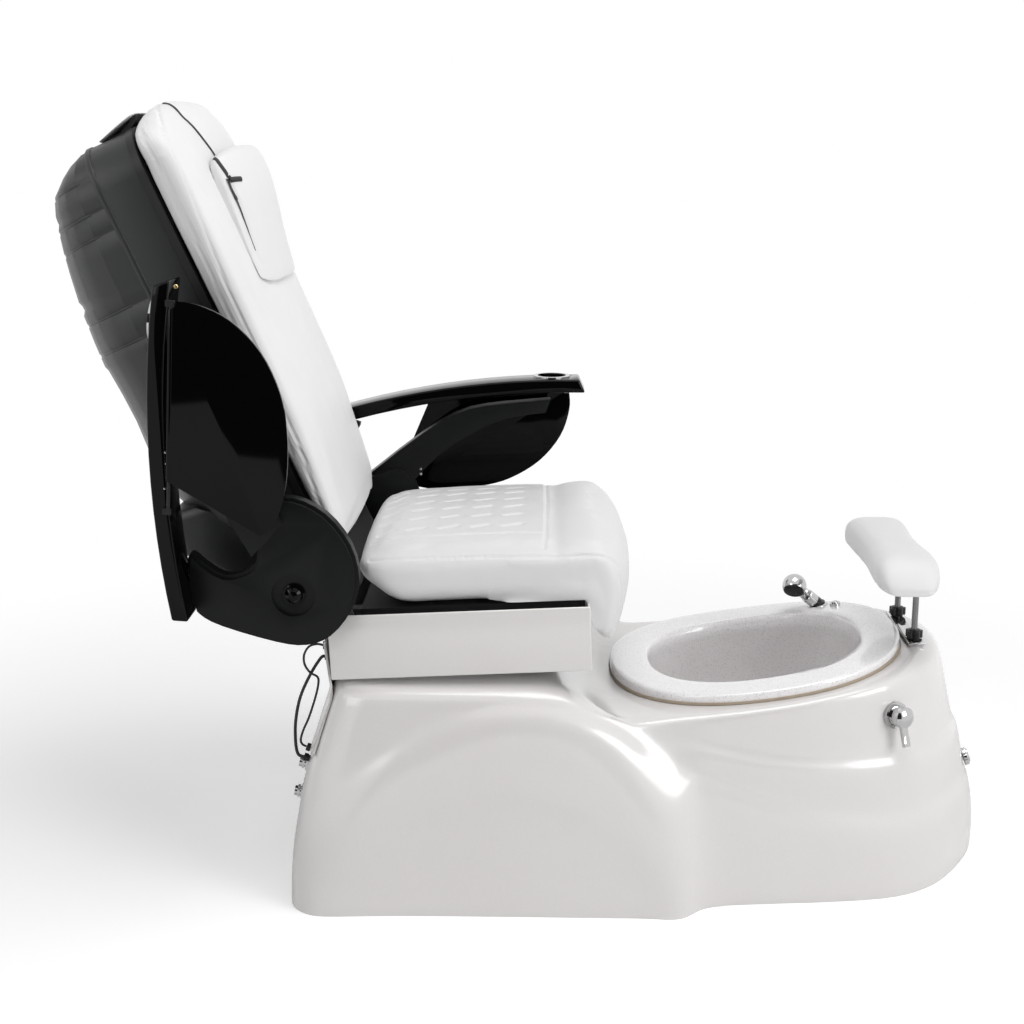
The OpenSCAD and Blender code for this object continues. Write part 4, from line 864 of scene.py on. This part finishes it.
# %% Top flap
FLAP = [(4, 788.5), (24, 794), (46, 800), (81, 808)]
FLAP_HALF, HEM = 186, 0.003
SHADE_WEDGE_WIDTH, SHADE_WEDGE_LENGTH, SHADE_WEDGE_DROP = 0.88, 0.66, 8
bm = bmesh.new()
rows = [[bm.verts.new(BACK @ Vector((x, side * FLAP_HALF, z))) for x, z in FLAP]
        for side in (-1, 1)]
for a, b in zip(rows[0], rows[1]):
    bm.edges.new((a, b))
bmesh.ops.bridge_loops(bm, edges=[bm.edges.new(p) for row in rows for p in zip(row, row[1:])])
bmesh.ops.subdivide_edges(bm, edges=bm.edges, cuts=2, use_grid_fill=True, smooth=1.0)
bmesh.ops.recalc_face_normals(bm, faces=bm.faces)
if sum((f.normal.z for f in bm.faces)) < 0:
    bmesh.ops.reverse_faces(bm, faces=bm.faces)
flap = made("top_flap_sheet", bm, sharp=60)
hem = flap.modifiers.new("hem", "SOLIDIFY")
hem.thickness = HEM
hem.offset = -1
flap = dress(bake(rounded(flap)), white_leather, "top_flap")

# painted shade: a dark wedge under the flap stands for the shade in the hollow beneath it
bm = merged("top_flap")
for vert in bm.verts:
    here = into @ vert.co
    here.y *= SHADE_WEDGE_WIDTH
    here.x = 24 + (here.x + 6) * SHADE_WEDGE_LENGTH
    here.z -= SHADE_WEDGE_DROP if here.z > 790 else 0
    vert.co = BACK @ here
dress(made("top_flap_shade_wedge", bm, sharp=30), zip_tape_and_gap_shade, "top_flap", stands=False)

# %% [markdown]
# A zip is a narrow tape, raised along its middle. One crosses the upper corner of the
# cushion, and another runs down the side of the pillow to a small tab. From there a
# dark strip of the same tape tapers downwards: painted shade for the gap between the
# pillow and the cushion.

# %% Zip and its tab
def ribbon(name, line, widths, lift, thick):
    """A strip along (point, normal) pairs; its half width runs from first to last."""
    rings = []
    for i, (p, n) in enumerate(line):
        half = widths[0] + (widths[1] - widths[0]) * i / (len(line) - 1)
        along = (line[min(i + 1, len(line) - 1)][0] - line[max(i - 1, 0)][0]).normalized()
        side = along.cross(n).normalized()
        rings.append([p + side * half + n * lift, p + side * half * 0.5 + n * (lift + thick),
                      p - side * half * 0.5 + n * (lift + thick), p - side * half + n * lift,
                      p - n * 0.001])
    bm = lofted(rings, closed=False)
    close_up(bm)
    return made(name, bm, sharp=60)


ZIP = [(120, -122, 807), (131.8, -128.7, 801), (141.9, -137, 778), (146.6, -133.5, 755),
       (150.1, -120.6, 731), (153, -106, 707), (155, -101, 697)]
PILLOW_ZIP = [(156, -150, 705), (167, -157, 690), (168, -157, 677), (171.6, -155, 654),
              (172, -154.4, 647)]
TAB = [(172, -154.4, 646.9), (179, -146, 645), (186.3, -135.7, 642.2)]
# painted shade: a dark tapering strip stands for the shade in the gap between pillow and
# cushion
PILLOW_GAP_SHADE = [(171, -156, 650), (169, -157, 630), (167, -155.5, 600), (163.5, -154, 565),
         (159, -152, 527)]
for name, pad, points, steps, widths, lift, thick, node in (
        ("cushion_zip", back_pad, ZIP, 14, (0.0038, 0.0038), 0.0004, 0.0012, "back_cushion"),
        ("pillow_zip", pillow, PILLOW_ZIP, 8, (0.0034, 0.0034), 0.0002, 0.0010, "head_pillow"),
        ("zip_tab", pillow, TAB, 6, (0.0045, 0.0045), 0.0006, 0.0022, "head_pillow"),
        ("pillow_strap", pillow, PILLOW_GAP_SHADE, 8, (0.0055, 0.0009), 0.0003, 0.0008, "head_pillow")):
    line = laid(pad, BACK, points, steps)
    dress(ribbon(name, line, widths, lift, thick), zip_tape_and_gap_shade, node, stands=False)

# %% [markdown]
# The side trays are lacquered boards. The thin bright line round each is only the light
# caught by its edge. The inner end is cut off at a slant with one plane, which is simpler
# than drawing a new outline, and the hinge is blackened.

# %% Slanted ends of the trays
SLANT_POINT, SLANT_NORMAL = Vector((168, 0, 191)), Vector((-118, 0, 51))
for node, place in (("right_tray", RIGHT), ("left_tray", LEFT)):
    bevelled(node, 0.0022, lacquer, 3, (place @ SLANT_POINT, place.to_3x3() @ SLANT_NORMAL))
    frame["nodes"][node + "_hinge"].data.materials[0] = black_plastic

# %% [markdown]
# The other hard pieces keep their solid's shape and only lose their sharp corners. A
# bevel of about one to four millimetres catches the light along each edge, as a moulded or
# polished edge does.

# %% Rounded hard pieces
for node, width, material, segments in (
        ("right_armrest", 0.004, lacquer, 3), ("left_armrest", 0.004, lacquer, 3),
        ("right_arm_bracket", 0.0035, casting, 3), ("left_arm_bracket", 0.0035, casting, 3),
        ("seat_skirt", 0.004, pearl_coat, 3), ("near_star_knob", 0.0012, black_plastic, 2),
        ("far_star_knob", 0.0012, black_plastic, 2), ("mixer_lever", 0.0012, chrome, 2),
        ("drain_knob", 0.0008, chrome, 2), ("footrest_plate", 0.0010, chrome, 2),
        ("power_box", 0.003, black_plastic, 2), ("sprayer_holder", 0.001, black_plastic, 2)):
    bevelled(node, width, material, segments)

# %% [markdown]
# Small round fittings are profiles spun round their own axis. A brass screw holds the
# armrest, small ones hold a latch plate beside it, and two hold the boom of the far arm.
# The caps over both pivots are lacquered like the armrests.

# %% Turned parts
def turned(name, spots, profile, node, material, sides=24):
    """One or more parts spun round a normal: (radius, height) pairs in mm at each
    (place, normal) in metres."""
    whole = bmesh.new()
    for place, normal in spots:
        one = bmesh.new()
        line = [one.verts.new((r / 1000, 0, h / 1000)) for r, h in profile]
        edges = [one.edges.new(pair) for pair in zip(line, line[1:])]
        bmesh.ops.spin(one, geom=line + edges, cent=(0, 0, 0), axis=(0, 0, 1),
                       angle=2 * math.pi, steps=sides, use_merge=True)
        turn = Vector(normal).to_track_quat("Z", "Y").to_matrix().to_4x4()
        bmesh.ops.transform(one, matrix=Matrix.Translation(place) @ turn, verts=one.verts)
        close_up(one)
        mesh = bpy.data.meshes.new("one")
        one.to_mesh(mesh)
        one.free()
        whole.from_mesh(mesh)
        bpy.data.meshes.remove(mesh)
    return dress(made(name, whole, sharp=35), material, node, stands=False)


def screw(name, spots, radius, node, material):
    """Screws with a domed head and a hollow in it; the radius is in mm."""
    return turned(name, spots, [(radius, -1), (radius, 0.7), (radius * 0.8, 1.4),
                                (radius * 0.4, 1.5), (radius * 0.36, 0.7)],
                  node, material, sides=16)


near_side = (0, -1, 0)
screw("armrest_screw", [(RIGHT @ Vector((480, 382, 226)), near_side)], 3.6,
      "right_armrest", brass)
screw("latch_screws", [(RIGHT @ Vector((x, 382, z)), near_side)
                       for x, z in ((162, 214), (202, 215), (220, 218))], 1.8,
      "right_armrest", chrome)
bm = bmesh.new()
bmesh.ops.create_cube(bm, size=1, matrix=RIGHT @ Matrix.Translation((187, 382.4, 213))
                      @ Matrix.Diagonal((16, 1.2, 2.6, 1)))
soften(bm, bm.edges[:], 0.0003)
dress(made("latch_plate", bm), chrome, "right_armrest", stands=False)
for cap in ("right_pivot_cap", "left_pivot_cap"):
    frame["nodes"][cap].data.materials[0] = lacquer
screw("boom_screws", [(LEFT @ Vector((162, 306, z)), near_side) for z in (82, 72)], 2.6,
      "left_arm_bracket", chrome)

# %% [markdown]
# The hand shower is a ball on a neck. Its face is a plane cut through the ball, so the
# ball and the neck are both bisected there and closed, and a black face with rings of
# nozzles is set in. A bright sleeve covers the upper part of its black holder, and a
# bright flange rings its foot.

# %% Hand shower
SPRAY_AXIS = Vector((-0.7330, -0.2828, 0.6186))
SPRAY_FOOT = Vector((0.55405, 0.1836, 0.39555))
FACE = Vector((-0.20, -0.74, -0.64)).normalized()
NECK_LENGTH, BALL_RADIUS, FACE_OUT = 0.066, 0.0232, 0.012
head = SPRAY_FOOT + SPRAY_AXIS * NECK_LENGTH
ball = bmesh.new()
bmesh.ops.create_uvsphere(ball, u_segments=40, v_segments=24, radius=BALL_RADIUS,
                          matrix=Matrix.Translation(head))
for name, bm in (("spray_ball", ball), ("spray_neck", merged("sprayer"))):
    cut(bm, head + FACE * FACE_OUT, FACE)
    close_up(bm)
    dress(made(name, bm, sharp=35), chrome, "sprayer")
turned("spray_face", [(head + FACE * FACE_OUT, FACE)],
       [(19.4, -0.5), (19.4, 0.8), (18.2, 1.6), (4, 1.8)], "sprayer", black_plastic, sides=40)
turned("holder_sleeve", [(SPRAY_FOOT + SPRAY_AXIS * 0.011, SPRAY_AXIS)],
       [(12.4, 0), (13, 0.4), (13, 19), (12.4, 19.6), (8.4, 19.6)], "sprayer_holder", chrome,
       sides=40)
across_face = FACE.cross(Vector((0, 1, 0))).normalized()
nozzle_foot = head + FACE * 0.0135
nozzles = [(nozzle_foot, FACE)]
for count, radius in ((7, 0.0055), (13, 0.0105), (19, 0.0152)):
    for k in range(count):
        arm = Matrix.Rotation(2 * math.pi * k / count, 3, FACE) @ across_face
        nozzles.append((nozzle_foot + arm * radius, FACE))
turned("spray_nozzles", nozzles, [(0.9, -0.4), (0.8, 0.8), (0.4, 1.2)], "sprayer", rubber,
       sides=8)
turned("spray_flange", [(Vector((0.5546, 0.1836, 0.3926)), (-0.1843, 0, 0.9829))],
       [(15.1, 0.1), (20, 0.1), (20, 1.8), (17, 3.2), (15.1, 3.4)], "sprayer_holder", chrome,
       sides=40)

# %% [markdown]
# A thread is a V of one pitch, spun round the rod and lifted by that pitch each turn.
# Where one turn meets the next, their points are merged. Sizes are in millimetres.

# %% Threads of the footrest rods
PITCH, ROOT, CREST, SIDES = 3.0, 5.03, 5.85, 16
ROD_X, ROD_Y, THREAD_LOW, THREAD_HIGH = 685, 72, 345, 511
# painted shade: the threads get a darker steel than the rods, standing for the shade in their
# grooves
groove_shaded_steel = finish("threaded_steel_groove_shade", grey(0.17), grey(0.26), (0.28, 0.38), 40, Metallic=1.0)


def thread(name, x, y, low, high):
    turns = int((high - low) / PITCH) - 1
    bm = bmesh.new()
    line = [bm.verts.new(((x + r) / 1000, y / 1000, (low + up) / 1000))
            for r, up in ((ROOT, 0), (CREST, PITCH / 2), (ROOT, PITCH))]
    edges = [bm.edges.new(pair) for pair in zip(line, line[1:])]
    bmesh.ops.spin(bm, geom=line + edges, cent=(x / 1000, y / 1000, 0), axis=(0, 0, 1),
                   dvec=(0, 0, PITCH / SIDES / 1000), angle=2 * math.pi * turns,
                   steps=SIDES * turns)
    bmesh.ops.remove_doubles(bm, verts=bm.verts, dist=2e-5)
    close_up(bm)
    thing = dress(made(name, bm, sharp=60), groove_shaded_steel, "footrest_rods", stands=False)
    print(name, [round(c[2], 4) for c in (thing.bound_box[0], thing.bound_box[6])])


thread("near_rod_thread", ROD_X, -ROD_Y, THREAD_LOW, THREAD_HIGH)
thread("far_rod_thread", ROD_X, ROD_Y, THREAD_LOW, THREAD_HIGH)

# %% [markdown]
# The floor is plain and pale. Within 0.9 m of the middle it takes soft shadows, and
# from there to 2.2 m it melts into the white surround.

# %% Floor
bm = bmesh.new()
bmesh.ops.create_grid(bm, x_segments=24, y_segments=24, size=9)
floor = made("floor", bm)
ground = Finish("studio_floor")
apart = ground.node("ShaderNodeVectorMath", {"operation": "LENGTH"}, {0: ground.place}, 1)
fade = ground.step(apart, 0.9, 2.2)
seen = ground.node("ShaderNodeLightPath", out="Is Camera Ray")
matt = ground.node("ShaderNodeBsdfPrincipled", None,
                   {"Base Color": grey(0.93), "Roughness": ground.between(
                       ground.noise(6, 2), 0.6, 0.75), "Specular IOR Level": 0.2,
                    "Emission Color": grey(1.0), "Emission Strength": seen * 0.32})
lit = ground.node("ShaderNodeEmission", None, {"Color": grey(1.0), "Strength": 1.0})
ground.node("ShaderNodeOutputMaterial", None, {
    "Surface": ground.node("ShaderNodeMixShader", None, {0: fade, 1: matt, 2: lit})})
floor.data.materials.append(ground.material)

# %% [markdown]
# The light is soft: a wide panel overhead, a fill from the front left, a stronger one
# from the front right and a narrow one behind, which draws the edge of the rear cover.
# Each has a place and an aim, a size in metres and a power in watts. The camera, gloss
# and glass see a white room, while shade comes from a greyer one. A black card behind
# the camera, which the camera itself doesn't see, keeps lacquer black and gives chrome
# its dark heart.

# %% Lights and surroundings
def panel_light(name, place, aim, size, power):
    """A soft rectangular lamp."""
    light = bpy.data.lights.new(name, "AREA")
    light.shape = "RECTANGLE"
    light.size, light.size_y = size
    light.energy = power
    lamp = bpy.data.objects.new(name, light)
    lamp.location = place
    lamp.rotation_euler = (Vector(aim) - Vector(place)).to_track_quat("-Z", "Y").to_euler()
    bpy.context.scene.collection.objects.link(lamp)


panel_light("overhead", (0.5, -0.5, 3.3), (0, 0, 0.4), (2.0, 1.5), 37)
panel_light("front_left", (-2.9, -3.3, 2.3), (-0.1, 0, 0.6), (1.8, 1.8), 22)
panel_light("front_right", (3.1, -2.6, 1.9), (0.1, 0, 0.5), (1.8, 1.8), 60)
panel_light("rear_left", (-3.0, -1.2, 2.0), (-0.6, 0, 1.0), (0.4, 1.4), 6)

bm = bmesh.new()
bmesh.ops.create_grid(bm, x_segments=1, y_segments=1, size=1.25,
                      matrix=Matrix.Translation((0.1, -3.3, 1.25)) @ Matrix.Rotation(
                          math.radians(90), 4, "X") @ Matrix.Diagonal((1.4, 1, 1, 1)))
card = made("black_card", bm)
card.data.materials.append(finish("card_felt", grey(0.010), grey(0.014), (0.8, 0.9), 12))
card.visible_camera = False

world = bpy.data.worlds.new("white_room")
bpy.context.scene.world = world
world.use_nodes = True
tree = world.node_tree
tree.nodes.clear()
ray_kind = tree.nodes.new("ShaderNodeLightPath")
camera_ray, glossy_ray, clear_ray = (Wire(tree, ray_kind.outputs[name]) for name in (
    "Is Camera Ray", "Is Glossy Ray", "Is Transmission Ray"))
sees_white = camera_ray + glossy_ray + clear_ray
shade = tree.nodes.new("ShaderNodeBackground")
shade.inputs["Color"].default_value = grey(0.9)
shade.inputs["Strength"].default_value = 0.38
white = tree.nodes.new("ShaderNodeBackground")
white.inputs["Color"].default_value = grey(1.0)
mixed = tree.nodes.new("ShaderNodeMixShader")
sky = tree.nodes.new("ShaderNodeOutputWorld")
tree.links.new(sees_white.socket, mixed.inputs[0])
tree.links.new(shade.outputs[0], mixed.inputs[1])
tree.links.new(white.outputs[0], mixed.inputs[2])
tree.links.new(mixed.outputs[0], sky.inputs["Surface"])
bpy.context.scene.view_settings.view_transform = "Standard"
